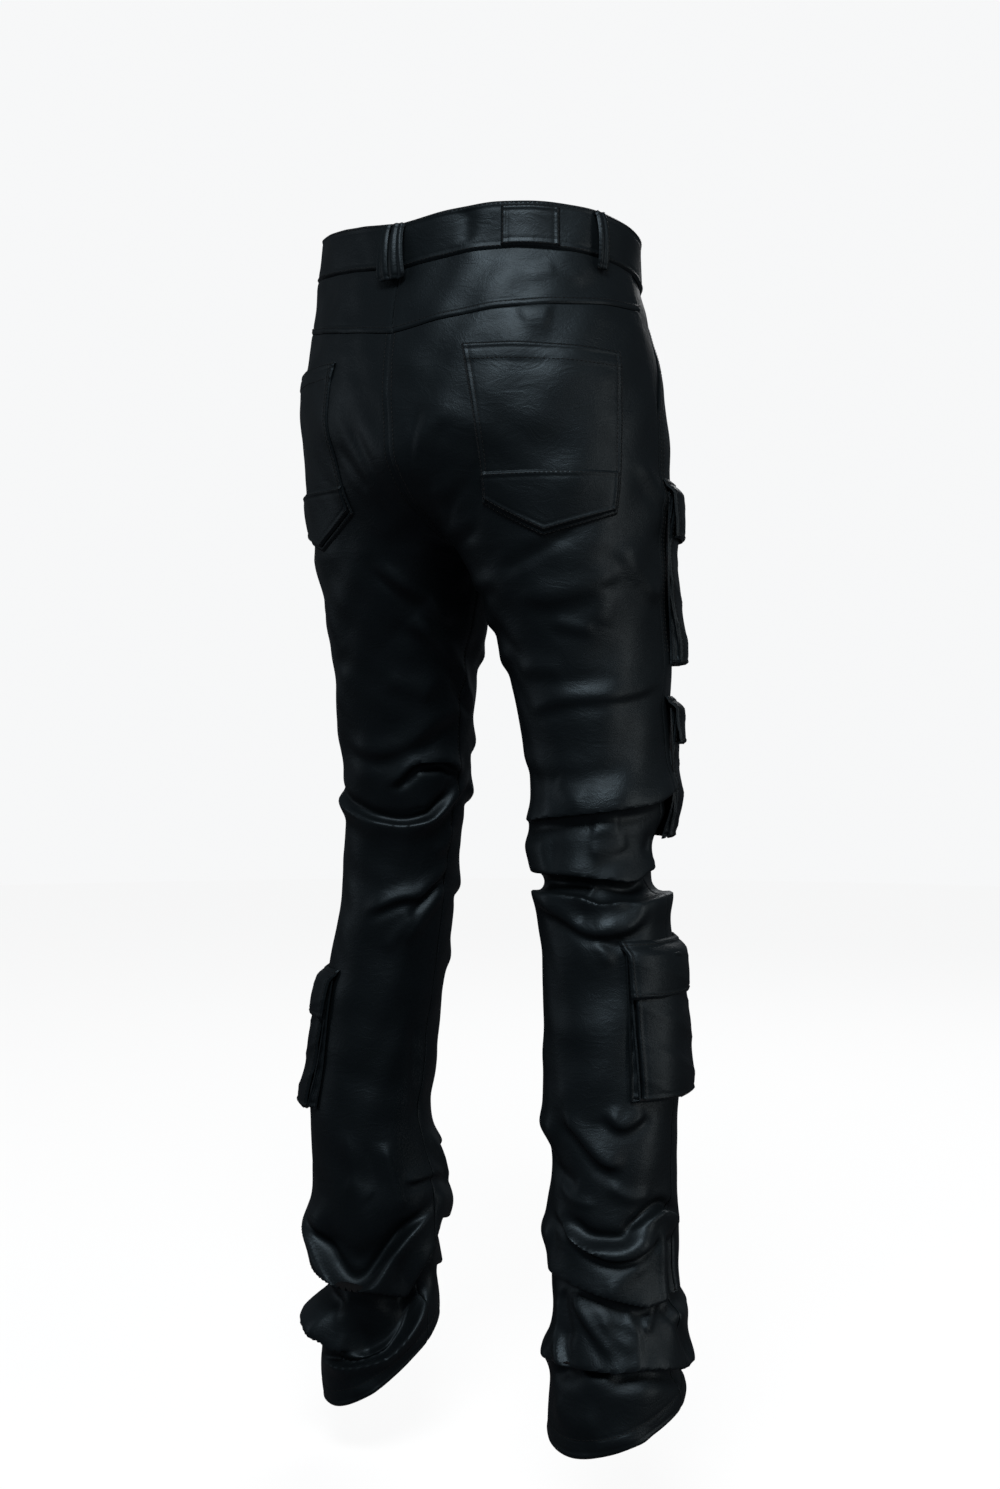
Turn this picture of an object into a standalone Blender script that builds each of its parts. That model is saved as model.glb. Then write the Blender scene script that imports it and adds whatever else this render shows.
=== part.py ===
"""Slim stacked cargo trousers in black leather, worn and standing open.

Run with: blender --background --python part.py
Metres, +Z up. The origin is the middle of the waist opening, level with the
waistband's top edge. -Y is the wearer's front and -X the wearer's right.

Every leather piece is cut from one surface, leather_point(side, u, drop):
  side  "right" or "left"
  u     0 at the centre-front seam or inseam, round the outer side of the body,
        to 1 at the centre-back seam or inseam
  drop  how far below the waist the level lies
"""

import math

import bmesh
import bpy
import numpy as np
from mathutils import Vector

# ---------------------------------------------------------------- driving sizes
WALL = 0.0014  # one layer of leather
BAND_WALL = 0.0026  # the waistband is two layers
SEAM_GAP = 0.0003  # between neighbouring pieces
ON_PANEL = 0.0006  # clear height of a piece that lies on a panel

BAND_DEPTH = 0.038
HIP_DROP = 0.19  # the legs begin to part
CROTCH_DROP = 0.271
SIDE_STARTS_ABOVE = 0.07  # at the outer side body turns into leg more gently
SIDE_ENDS_BELOW = 0.10
RISE_ROUNDNESS = 0.56  # 0.5 makes the rise seam a quarter of an ellipse
STACK_DROP = 0.78  # the stacked folds begin, and the rows start to tilt
OUTSEAM_U = 0.483  # the outseam runs a little in front of the side
SEAM_U = 0.0006  # half of the gap at an inseam, as a share of the ring
FRONT_COLUMNS = 7
BACK_COLUMNS = 8

SIDES = {"right": -1.0, "left": 1.0}

# The body above the crotch: half-ellipses about the middle line.
BODY_COLUMNS = ("drop", "shift", "half_width", "front", "back")
BODY = [
    (0.000, 0.004, 0.148, 0.106, 0.110),
    (0.040, 0.004, 0.150, 0.108, 0.113),
    (0.090, 0.002, 0.159, 0.114, 0.124),
    (0.135, 0.001, 0.167, 0.117, 0.131),
    (0.190, -0.002, 0.168, 0.118, 0.133),
    (0.230, -0.003, 0.168, 0.118, 0.130),
    (0.271, -0.003, 0.164, 0.114, 0.120),
    (0.331, -0.003, 0.160, 0.108, 0.112),
]

# The legs: rings, each with its centre out from the middle line and back from
# the waist's centre, and its half width and half depth.
LEG_COLUMNS = ("drop", "out", "back", "half_width", "half_depth")
LEGS = {
    "right": [
        (0.271, 0.084, -0.002, 0.084, 0.092),
        (0.306, 0.088, -0.005, 0.078, 0.085),
        (0.343, 0.092, -0.012, 0.071, 0.079),
        (0.396, 0.102, -0.010, 0.063, 0.069),
        (0.432, 0.107, -0.010, 0.060, 0.064),
        (0.475, 0.112, -0.007, 0.058, 0.061),
        (0.516, 0.110, -0.001, 0.052, 0.056),
        (0.541, 0.116, 0.003, 0.049, 0.053),
        (0.576, 0.123, 0.006, 0.054, 0.055),
        (0.620, 0.129, 0.010, 0.053, 0.054),
        (0.716, 0.139, 0.023, 0.054, 0.054),
        (0.766, 0.145, 0.029, 0.050, 0.051),
        (0.816, 0.148, 0.034, 0.052, 0.053),
        (0.866, 0.154, 0.041, 0.049, 0.050),
        (0.912, 0.158, 0.045, 0.053, 0.054),
        (0.955, 0.158, 0.047, 0.054, 0.055),
    ],
    "left": [
        (0.271, 0.083, -0.003, 0.083, 0.088),
        (0.306, 0.086, -0.005, 0.073, 0.078),
        (0.326, 0.088, -0.008, 0.070, 0.074),
        (0.363, 0.095, -0.013, 0.063, 0.069),
        (0.413, 0.102, -0.022, 0.060, 0.063),
        (0.464, 0.108, -0.031, 0.057, 0.060),
        (0.508, 0.113, -0.034, 0.053, 0.055),
        (0.552, 0.118, -0.035, 0.051, 0.054),
        (0.595, 0.124, -0.034, 0.052, 0.054),
        (0.672, 0.136, -0.031, 0.054, 0.055),
        (0.730, 0.141, -0.028, 0.054, 0.055),
        (0.769, 0.145, -0.025, 0.055, 0.056),
        (0.816, 0.140, -0.030, 0.060, 0.060),
        (0.859, 0.138, -0.030, 0.060, 0.060),
        (0.892, 0.138, -0.029, 0.056, 0.057),
        (0.925, 0.136, -0.029, 0.052, 0.053),
        (0.960, 0.136, -0.028, 0.053, 0.054),
        (0.990, 0.135, -0.028, 0.052, 0.053),
    ],
}

# How far the waist edge lies above or below its level, round the half waist.
WAIST_COLUMNS = ("u", "right", "left")
WAIST = [
    (0.00, -0.024, -0.024),
    (0.25, -0.020, -0.018),
    (0.45, -0.012, 0.000),
    (0.65, -0.002, 0.008),
    (0.80, 0.000, 0.002),
    (1.00, -0.009, -0.009),
]

# The yoke seam's drop, round the half waist from the outseam to the centre back.
YOKE_COLUMNS = ("u", "drop")
YOKE = [(0.48, 0.071), (0.66, 0.081), (0.85, 0.089), (1.00, 0.095)]

# The hems hang lower on one side: by how much, and at which turn round the leg.
# Turns round a leg are in degrees: 0 outer side, 90 back, 180 inseam, -90 front.
HEM_COLUMNS = ("side", "tilt", "lowest_turn")
HEMS = [("right", 0.022, 112.0), ("left", 0.038, 60.0)]

# The largest folds: each is a ridge, or a trough where its height is negative,
# along a curve through three points. They are given as turn round the leg and
# true depth below the waist, after the hem's slant.
FOLD_COLUMNS = ("side", "turn_a", "drop_a", "turn_b", "drop_b", "turn_c", "drop_c", "out", "width")
FOLDS = [
    ("right", -60, 0.478, 60, 0.487, 205, 0.500, 0.0060, 0.011),
    ("right", -70, 0.548, 55, 0.537, 180, 0.535, 0.0050, 0.008),
    ("right", -75, 0.563, 55, 0.553, 185, 0.555, 0.0060, 0.008),
    ("right", 40, 0.735, 110, 0.728, 190, 0.732, 0.0050, 0.012),
    ("right", -70, 0.778, 50, 0.822, 190, 0.800, 0.0090, 0.012),
    ("right", -60, 0.864, 50, 0.849, 110, 0.845, 0.0060, 0.010),
    ("right", -80, 0.925, 45, 0.905, 200, 0.915, 0.0100, 0.014),
    ("right", -170, 0.806, -100, 0.832, -30, 0.808, 0.0070, 0.012),
    ("right", -190, 0.868, -105, 0.890, -30, 0.870, 0.0070, 0.012),
    ("left", 0, 0.468, 125, 0.507, 245, 0.460, 0.0065, 0.010),
    ("left", -120, 0.500, -60, 0.512, 0, 0.492, 0.0040, 0.012),
    ("left", -30, 0.795, 115, 0.906, 250, 0.791, 0.0130, 0.013),
    ("left", -30, 0.915, 35, 0.930, 100, 0.932, -0.0100, 0.011),
    ("left", 45, 0.912, 130, 0.916, 235, 0.880, 0.0060, 0.009),
    ("left", -25, 0.972, 85, 0.945, 205, 0.905, 0.0130, 0.012),
    ("left", 5, 0.958, 38, 0.964, 80, 0.958, 0.0080, 0.011),
    ("left", -20, 1.005, 100, 0.977, 205, 0.910, 0.0060, 0.009),
    ("left", -160, 0.860, -70, 0.880, 0, 0.862, 0.0080, 0.012),
    ("left", -150, 0.905, -60, 0.925, 10, 0.945, 0.0070, 0.011),
]
FOLD_SAMPLES = 13
UNROLL_RADIUS = 0.055  # turns round a leg are laid flat at this radius

# The legs' levels where the panels have a row of points.
HIP_ROWS = (0.0384, 0.075, 0.115, 0.150, 0.190)
CROTCH_TURNS = (26, 46, 63, 77, 90)  # degrees round the rise curve
LEG_ROWS = (
    (0.300, 0.340, 0.385, 0.430, 0.460)
    + (0.473, 0.485, 0.496, 0.507, 0.519, 0.531, 0.542, 0.553, 0.565, 0.580)
    + (0.620, 0.675, 0.730, 0.770, 0.790)
)
STACK_ROWS = 19  # from the last leg row to the hem

# Pockets with a folded gusset: turns and drops of the edges on the leg, and how
# far the face stands off at its top and bottom edges.
CARGO_COLUMNS = ("place", "side", "turn_back", "turn_front", "top", "bottom", "flap", "off_top", "off_bottom")
CARGO = [
    ("thigh_upper", "right", -14, -95, 0.226, 0.366, 0.048, 0.006, 0.012),
    ("thigh_upper", "left", -14, -95, 0.226, 0.366, 0.048, 0.006, 0.012),
    ("thigh_lower", "right", -14, -98, 0.402, 0.508, 0.040, 0.006, 0.009),
    ("thigh_lower", "left", -14, -98, 0.402, 0.508, 0.040, 0.006, 0.009),
    ("calf", "right", 43, -82, 0.596, 0.708, 0.045, 0.005, 0.010),
    ("calf", "left", 70, -55, 0.646, 0.762, 0.045, 0.005, 0.013),
]
CARGO_COLUMNS_ACROSS = 5
CARGO_ROWS_DOWN = 3
FLAP_RISE = 0.010  # the flap's seam lies this far above the pocket
FLAP_PROUD = 0.0030  # how far the flap's face stands off the pocket's face
GUSSET_BELOW_FACE = 0.0030

# The back pocket's outline and its lower panel's top edge, as u and drop.
BACK_POCKET = [(0.588, 0.118), (0.872, 0.115), (0.838, 0.240), (0.712, 0.268), (0.592, 0.250)]
POCKET_PANEL_TOP = 0.216
POCKET_PANEL_INSET = 0.003  # the lower panel lies this far inside the pocket
POCKET_ROWS = (0.08, 0.32)  # the back panel's rows that lie behind the pocket

# The front pocket's slanted mouth, from the waist seam to the outseam, and the
# facing that shows inside it.
MOUTH = [(0.300, BAND_DEPTH), (0.484, 0.165)]
FACING_FROM_U = 0.18
FACING_BELOW_MOUTH = 0.025  # the facing's lower edge lies this far under the mouth
GUSSET_CLEAR = 0.0012

LOOP_COLUMNS = ("name", "side", "u", "width", "bow")
LOOPS = [
    ("loop_back_right", "right", 0.600, 0.011, 0.0075),
    ("loop_back_left", "left", 0.560, 0.011, 0.0065),
    ("loop_front_right", "right", 0.220, 0.011, 0.0065),
    ("loop_front_left", "left", 0.220, 0.011, 0.0065),
]
LOOP_TOP = 0.0015
LOOP_BELOW_BAND = 0.012
LOOP_ROWS = 9
CENTRE_LOOP_WIDTH = 0.022
CENTRE_LOOP_BOW = 0.0068
CENTRE_LOOP_SLIT = 0.0022
CENTRE_LOOP_SHIFT = 0.004
CENTRE_LOOP_CLEAR = 0.0012  # its middle stands this much further off the band
CENTRE_LOOP_ROUND = 0.0008  # its outer edges lie this far behind its middle
CENTRE_LOOP_U = 0.985
HALF_WAIST = 0.42  # round half the waistband

BAND_SUNK = 0.0004  # the waistband's face, less than its two layers would stand
PATCH_U = (0.690, 0.805)
PATCH_DROPS = (0.0035, BAND_DEPTH / 2, BAND_DEPTH - 0.0015)
FLY_WIDTH = 0.036
FLY_DROP = 0.185
BUTTON_RADIUS = 0.0085

COLLECTION = "leather_trousers"
LEATHER = (0.011, 0.013, 0.015, 1.0)
LEATHER_ROUGHNESS = 0.38
METAL = (0.30, 0.30, 0.31, 1.0)


# ---------------------------------------------------------------- the surface
def column(rows, names, name, at):
    """A table's column as a smooth curve over its first column."""
    table = np.array(rows, float)
    xs, ys = table[:, 0], table[:, names.index(name)]
    slopes = np.gradient(ys, xs)
    at = np.clip(np.asarray(at, float), xs[0], xs[-1])
    i = np.clip(np.searchsorted(xs, at, side="right") - 1, 0, len(xs) - 2)
    step = xs[i + 1] - xs[i]
    t = (at - xs[i]) / step
    lift_in = (2 * t**3 - 3 * t**2 + 1) * ys[i] + (t**3 - 2 * t**2 + t) * step * slopes[i]
    lift_out = (3 * t**2 - 2 * t**3) * ys[i + 1] + (t**3 - t**2) * step * slopes[i + 1]
    return lift_in + lift_out


def smooth_step(low, high, at):
    t = np.clip((at - low) / (high - low), 0.0, 1.0)
    return t * t * (3 - 2 * t)


def near_rise(u):
    """1 at the rise seam, front or back, fading to 0 towards the outer side."""
    return smooth_step(0.45, 1.0, np.abs(2 * u - 1))


def hem_drop(side):
    return LEGS[side][-1][0]


def hem_tilt(side, turn, drop):
    """How far the hem's slant lowers a point. It fades out up the leg."""
    tilt, lowest = next(row[1:] for row in HEMS if row[0] == side)
    share = smooth_step(STACK_DROP, hem_drop(side), drop)
    return tilt * share * np.cos(turn - math.radians(lowest))


def fold_height(side, turn, drop):
    """The summed height of the folds at these points of a leg."""
    height = np.zeros_like(turn)
    for row in FOLDS:
        if row[0] != side:
            continue
        ends = np.array(row[1:7], float).reshape(3, 2)
        middle = math.radians(ends[1, 0])
        along = np.linspace(-1.0, 1.0, FOLD_SAMPLES)[:, None]
        weights = np.hstack([along * (along - 1) / 2, 1 - along**2, along * (along + 1) / 2])
        path = weights @ ends
        path_x = (np.radians(path[:, 0]) - middle) * UNROLL_RADIUS
        away = (turn - middle + math.pi) % (2 * math.pi) - math.pi
        gap_x = away[..., None] * UNROLL_RADIUS - path_x
        gap_y = drop[..., None] - path[:, 1]
        near = np.hypot(gap_x, gap_y)
        nearest = near.argmin(axis=-1)
        end_fade = 1 - np.abs(np.linspace(-1, 1, FOLD_SAMPLES)[nearest]) ** 3
        height += row[7] * end_fade * np.exp(-((near.min(axis=-1) / row[8]) ** 2))
    return height


def leather_point(side, u, drop):
    """Points of the leather's outer face, as an array of x, y, z."""
    sign = SIDES[side]
    u, drop = np.broadcast_arrays(np.asarray(u, float), np.asarray(drop, float))
    angle = (u - 0.5) * math.pi
    shift, wide, front, back = (column(BODY, BODY_COLUMNS, name, drop) for name in BODY_COLUMNS[1:])
    body_x = wide * np.cos(angle)
    body_y = np.where(angle < 0, front, back) * np.sin(angle)

    turn = (2 * u - 1) * math.pi
    rows = LEGS[side]
    out, behind, half_x, half_y = (column(rows, LEG_COLUMNS, name, drop) for name in LEG_COLUMNS[1:])
    puff = fold_height(side, turn, drop + hem_tilt(side, turn, drop))
    leg_x = out + (half_x + puff) * np.cos(turn)
    leg_y = behind + (half_y + puff) * np.sin(turn)

    near = near_rise(u)
    start = HIP_DROP - SIDE_STARTS_ABOVE * (1 - near)
    end = CROTCH_DROP + SIDE_ENDS_BELOW * (1 - near)
    share = np.clip((drop - start) / (end - start), 0.0, 1.0)
    rise_share = 1 - (1 - share**2) ** RISE_ROUNDNESS
    side_share = smooth_step(0.0, 1.0, share)
    leg_share = side_share + (rise_share - side_share) * near
    x = (1 - leg_share) * body_x + leg_share * leg_x
    y = (1 - leg_share) * body_y + leg_share * leg_y
    lift = column(WAIST, WAIST_COLUMNS, side, u) * (1 - smooth_step(BAND_DEPTH, HIP_DROP, drop))
    z = lift - drop - hem_tilt(side, turn, drop)
    return np.stack([shift + sign * (SEAM_GAP / 2 + x), y, z], axis=-1)


def outward(side, u, drop):
    """Unit normals of the surface, pointing away from the wearer."""
    step_u, step_drop = 1e-3, 1e-3
    across = leather_point(side, u + step_u, drop) - leather_point(side, u - step_u, drop)
    down = leather_point(side, u, drop + step_drop) - leather_point(side, u, drop - step_drop)
    normal = np.cross(down, across) * SIDES[side]
    return normal / np.linalg.norm(normal, axis=-1, keepdims=True)


def off_surface(side, u, drop, height):
    u, drop, height = np.broadcast_arrays(
        np.asarray(u, float), np.asarray(drop, float), np.asarray(height, float)
    )
    return leather_point(side, u, drop) + outward(side, u, drop) * height[..., None]


def turn_to_u(degrees):
    return 0.5 + np.asarray(degrees, float) / 360.0


# ---------------------------------------------------------------- making objects
def material(name, colour, roughness, metallic=0.0):
    made = bpy.data.materials.new(name)
    made.use_nodes = True
    shader = made.node_tree.nodes["Principled BSDF"]
    shader.inputs["Base Color"].default_value = colour
    shader.inputs["Roughness"].default_value = roughness
    shader.inputs["Metallic"].default_value = metallic
    made.diffuse_color = colour
    return made


def add_object(name, bm):
    """A bmesh as a named object in the trousers' collection."""
    mesh = bpy.data.meshes.new(name)
    bm.to_mesh(mesh)
    bm.free()
    mesh.materials.append(bpy.data.materials["button_metal" if "button" in name else "black_leather"])
    piece = bpy.data.objects.new(name, mesh)
    bpy.data.collections[COLLECTION].objects.link(piece)
    return piece


def facets(bm):
    """Splits every quad the same way, so that layers made from one grid match."""
    bmesh.ops.triangulate(bm, faces=bm.faces[:], quad_method="FIXED")
    bm.normal_update()
    return bm


def grid(points, flip):
    """An open surface through rows of points. flip turns its faces round."""
    bm = bmesh.new()
    rows = [[bm.verts.new(point) for point in row] for row in points]
    for upper, lower in zip(rows, rows[1:]):
        for i in range(len(upper) - 1):
            corners = (upper[i], lower[i], lower[i + 1], upper[i + 1])
            bm.faces.new(corners[::-1] if flip else corners)
    return facets(bm)


def shell(outer, inner, flip):
    """A closed wall between two matching surfaces, so that seam edges stay parallel."""
    bm = bmesh.new()
    faces = [[[bm.verts.new(point) for point in row] for row in points] for points in (outer, inner)]
    last_row, last = len(outer) - 1, len(outer[0]) - 1

    def add(*corners):
        bm.faces.new(corners[::-1] if flip else corners)

    out, back = faces
    for j in range(last_row):
        for i in range(last):
            add(out[j][i], out[j + 1][i], out[j + 1][i + 1], out[j][i + 1])
            add(back[j][i], back[j][i + 1], back[j + 1][i + 1], back[j + 1][i])
        add(out[j][0], back[j][0], back[j + 1][0], out[j + 1][0])
        add(out[j][last], out[j + 1][last], back[j + 1][last], back[j][last])
    for i in range(last):
        add(out[0][i], out[0][i + 1], back[0][i + 1], back[0][i])
        add(out[last_row][i], back[last_row][i], back[last_row][i + 1], out[last_row][i + 1])
    return facets(bm)


def panel(side, us, levels):
    """A one-layer leather panel whose outer face is the surface."""
    outer = leather_point(side, us, levels)
    inner = off_surface(side, us, levels, -WALL)
    return shell(outer, inner, side == "right")


def thicken(piece, wall, offset=-1.0):
    """Gives an open surface its wall, inwards unless offset is 1."""
    solid = piece.modifiers.new("wall", "SOLIDIFY")
    solid.thickness = wall
    solid.offset = offset
    solid.use_quality_normals = True


def trim(bm, corners, normals):
    """Cuts a surface down to a convex outline of points lying on it."""
    middle = np.mean(corners, axis=0)
    for i, corner in enumerate(corners):
        following = corners[(i + 1) % len(corners)]
        facing = (normals[i] + normals[(i + 1) % len(corners)]) / 2
        side = np.cross(following - corner, facing)
        if np.dot(side, middle - corner) > 0:
            side = -side
        bmesh.ops.bisect_plane(
            bm,
            geom=bm.verts[:] + bm.edges[:] + bm.faces[:],
            dist=1e-6,
            plane_co=Vector(corner),
            plane_no=Vector(side),
            clear_outer=True,
        )


# ---------------------------------------------------------------- legs and yokes
def rise_rows(us):
    """Rows through the rise: evenly spaced along its curve at the rise seam, and
    evenly spaced in height at the outer side."""
    turns = np.radians(CROTCH_TURNS)[:, None]
    at_seam = np.sin(turns)
    at_side = np.linspace(0, 1, len(CROTCH_TURNS) + 1)[1:, None]
    near = near_rise(us)
    return HIP_DROP + (CROTCH_DROP - HIP_DROP) * (at_side + (at_seam - at_side) * near)


def leg_levels(side, us):
    """Every row's drop at each column."""
    stack = np.linspace(LEG_ROWS[-1], hem_drop(side), STACK_ROWS + 1)[1:]
    flat = [np.repeat(np.array(rows)[:, None], len(us), axis=1) for rows in (HIP_ROWS, LEG_ROWS, stack)]
    return np.vstack([flat[0], rise_rows(us), flat[1], flat[2]])


def front_us():
    return np.linspace(SEAM_U, OUTSEAM_U - SEAM_U, FRONT_COLUMNS + 1)


def back_us():
    return np.linspace(OUTSEAM_U + SEAM_U, 1 - SEAM_U, BACK_COLUMNS + 1)


def yoke_drop(u):
    return column(YOKE, YOKE_COLUMNS, "drop", u)


def back_levels(side, us):
    """The back's rows. The first ones fan out from the yoke seam."""
    rows = leg_levels(side, us)
    top = yoke_drop(us) + SEAM_GAP
    fan = len(HIP_ROWS) - 2
    share = np.linspace(0, 1, fan + 1)[:-1, None]
    rows[:fan] = top + (rows[fan] - top) * share
    return rows


def make_back(side):
    us = back_us()
    add_object(f"back_{side}", panel(side, us, back_levels(side, us)))


def make_front(side):
    """The front panel, with its outer top corner cut away at the pocket mouth."""
    us = front_us()
    bm = panel(side, us, leg_levels(side, us))
    ends = [leather_point(side, u, drop) for u, drop in MOUTH]
    facing = outward(side, MOUTH[0][0], MOUTH[0][1]) + outward(side, MOUTH[1][0], MOUTH[1][1])
    cut = np.cross(ends[1] - ends[0], facing)
    corner = leather_point(side, OUTSEAM_U, BAND_DEPTH)
    if np.dot(cut, corner - ends[0]) < 0:
        cut = -cut
    bmesh.ops.bisect_plane(
        bm,
        geom=bm.verts[:] + bm.edges[:] + bm.faces[:],
        dist=1e-6,
        plane_co=Vector(ends[0]),
        plane_no=Vector(cut),
        clear_outer=True,
    )
    bmesh.ops.edgeloop_fill(bm, edges=[edge for edge in bm.edges if edge.is_boundary])
    add_object(f"front_{side}", bm)


def make_facing(side):
    """The leather that shows inside the slanted mouth, a layer below the front."""
    under = -(WALL + ON_PANEL)
    us = np.array([u for u in front_us() if u > FACING_FROM_U])
    drops = np.array(HIP_ROWS)
    drops[0] += SEAM_GAP
    bm = grid(off_surface(side, us, drops[:, None], under), side == "right")
    inner_u = MOUTH[0][0] - 0.05
    outline = [
        (inner_u, drops[0]),
        (us[-1], drops[0]),
        (us[-1], MOUTH[1][1] + FACING_BELOW_MOUTH),
        (us[-1] - 0.03, MOUTH[1][1] + FACING_BELOW_MOUTH),
        (inner_u, drops[0] + 0.05),
    ]
    trim(bm, [off_surface(side, u, d, under) for u, d in outline], [outward(side, u, d) for u, d in outline])
    thicken(add_object(f"pocket_facing_{side}", bm), WALL)


def make_yoke(side):
    us = back_us()
    share = np.linspace(0, 1, 3)[:, None]
    top = HIP_ROWS[0]
    levels = top + (yoke_drop(us) - top) * share
    add_object(f"yoke_{side}", panel(side, us, levels))


# ---------------------------------------------------------------- waistband
def waist_points(drops, height):
    """Rows of points all round the waist, from the centre front, right side first."""
    right = np.concatenate([front_us(), back_us()[1:]])
    left = right[::-1]
    rows = []
    for drop in drops:
        first = off_surface("right", right, drop, height)
        second = off_surface("left", left, drop, height)
        rows.append(np.vstack([first[:-1], [(first[-1] + second[0]) / 2], second[1:]]))
    return np.array(rows)


def make_waistband():
    proud = BAND_WALL - WALL - BAND_SUNK
    drops = (0.0, BAND_DEPTH / 2, BAND_DEPTH)
    band = shell(waist_points(drops, proud), waist_points(drops, proud - BAND_WALL), True)
    add_object("waistband", band)
    return proud


def make_patch(band_proud):
    """The blank label patch, on the waistband right of the centre back."""
    us = np.array([u for u in back_us() if PATCH_U[0] < u < PATCH_U[1]])
    us = np.concatenate([[PATCH_U[0]], us, [PATCH_U[1]]])
    drops = np.array(PATCH_DROPS)[:, None]
    points = off_surface("right", us, drops, band_proud + WALL + ON_PANEL)
    thicken(add_object("label_patch", grid(points, True)), WALL)


def loop_rows():
    """A loop's levels, and its bow there as a share of the full bow. It is sewn
    flat at both ends and stands off between them, with room for a belt."""
    share = np.linspace(0, 1, LOOP_ROWS)
    drops = LOOP_TOP + (BAND_DEPTH + LOOP_BELOW_BAND - LOOP_TOP) * share
    return drops, np.sqrt(np.abs(np.sin(np.pi * share)))


def make_loops(band_proud):
    for name, side, u, width, bow in LOOPS:
        half = width / 2 / HALF_WAIST
        drops, share = (values[:, None] for values in loop_rows())
        height = band_proud + WALL + ON_PANEL + bow * share
        points = off_surface(side, np.array([u - half, u + half]), drops, height)
        thicken(add_object(name, grid(points, side == "right")), WALL)


def make_centre_loop(band_proud):
    """Two strips that meet low down on the centre-back seam, with a slit between."""
    drops, share = loop_rows()
    back = off_surface("left", CENTRE_LOOP_U, drops, band_proud + WALL + ON_PANEL)
    bow = CENTRE_LOOP_BOW * share
    shift = column(BODY, BODY_COLUMNS, "shift", drops) + CENTRE_LOOP_SHIFT
    for name, side in (("loop_centre_right", -1.0), ("loop_centre_left", 1.0)):
        slit = CENTRE_LOOP_SLIT / 2 * np.linspace(1, 0, len(drops)) + SEAM_GAP / 2
        middle_y = back[:, 1] + bow + CENTRE_LOOP_CLEAR
        inner = np.stack([shift + side * slit, middle_y, back[:, 2]], axis=-1)
        outer = inner + np.array([side, 0, 0]) * (CENTRE_LOOP_WIDTH / 2 - slit[:, None])
        outer[:, 1] -= CENTRE_LOOP_ROUND
        points = np.stack([inner, outer], axis=1)
        thicken(add_object(name, grid(points, side < 0)), WALL, offset=-1.0)


# ---------------------------------------------------------------- fly
def make_fly():
    """The placket stitched on the left front, curving in to the centre seam."""
    us = front_us()
    us = us[us < 0.30]
    height = WALL + ON_PANEL
    rows = leg_levels("left", us)[: len(HIP_ROWS) + 2]
    bm = grid(off_surface("left", us, rows, height), False)
    outer = FLY_WIDTH / (math.pi * BODY[3][2]) + SEAM_U
    outline = [
        (SEAM_U * 3, BAND_DEPTH + 0.001),
        (outer, BAND_DEPTH + 0.001),
        (outer, FLY_DROP - 0.035),
        (outer * 0.72, FLY_DROP - 0.010),
        (SEAM_U * 3, FLY_DROP),
    ]
    points = [off_surface("left", u, drop, height) for u, drop in outline]
    trim(bm, points, [outward("left", u, drop) for u, drop in outline])
    thicken(add_object("fly_placket", bm), WALL)


def make_button(band_proud):
    u = 0.018 / (math.pi * BODY[0][2])
    centre = off_surface("left", u, BAND_DEPTH / 2, band_proud + ON_PANEL + 0.0014)
    normal = Vector(outward("left", u, BAND_DEPTH / 2))
    bm = bmesh.new()
    bmesh.ops.create_cone(
        bm, cap_ends=True, segments=20, radius1=BUTTON_RADIUS, radius2=BUTTON_RADIUS * 0.8, depth=0.0022
    )
    bm.normal_update()
    button = add_object("waist_button", bm)
    button.location = centre
    button.rotation_mode = "QUATERNION"
    button.rotation_quaternion = normal.to_track_quat("Z", "Y")


# ---------------------------------------------------------------- back pockets
def cover(name, side, outline, height):
    """A layer made from the back panel's points, moved out and cut to an outline."""
    us = back_us()
    levels = back_levels(side, us)
    first, last = POCKET_ROWS
    rows = levels[(levels.max(axis=1) > first) & (levels.min(axis=1) < last)]
    bm = grid(off_surface(side, us, rows, height), side == "right")
    points = [off_surface(side, u, drop, height) for u, drop in outline]
    trim(bm, points, [outward(side, u, drop) for u, drop in outline])
    thicken(add_object(name, bm), WALL)


def make_back_pocket(side):
    first = WALL + ON_PANEL
    cover(f"back_pocket_{side}", side, BACK_POCKET, first)
    corner, point, outer = BACK_POCKET[2:]
    inset_u = POCKET_PANEL_INSET / (math.pi * BODY[4][2])
    outline = [
        (outer[0] + inset_u, POCKET_PANEL_TOP),
        (corner[0] + inset_u, POCKET_PANEL_TOP),
        (corner[0] - inset_u, corner[1] - POCKET_PANEL_INSET),
        (point[0], point[1] - 1.3 * POCKET_PANEL_INSET),
        (outer[0] + inset_u, outer[1] - POCKET_PANEL_INSET),
    ]
    cover(f"pocket_panel_{side}", side, outline, first + WALL + 2 * ON_PANEL)


# ---------------------------------------------------------------- cargo pockets
def cargo_frame(row):
    """The pocket's mean outward direction, level, and its u range."""
    _, side, turn_back, turn_front = row[:4]
    middle = (turn_back + turn_front) / 2
    drop = (row[4] + row[5]) / 2
    direction = outward(side, turn_to_u(middle), drop)
    direction[2] = 0
    return side, direction / np.linalg.norm(direction), turn_to_u(turn_front), turn_to_u(turn_back)


def cargo_points(row, us, drops, height, clear=0.0):
    """Points clear of the leg, lifted further along the pocket's own direction."""
    side, direction, _, _ = cargo_frame(row)
    us, drops, height = np.broadcast_arrays(us, drops, np.asarray(height, float))
    return off_surface(side, us, drops, WALL + ON_PANEL + clear) + direction * height[..., None]


def face_height(row, drops):
    top, bottom, _, off_top, off_bottom = row[4:]
    return off_top + (off_bottom - off_top) * np.clip((drops - top) / (bottom - top), 0, 1)


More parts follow.
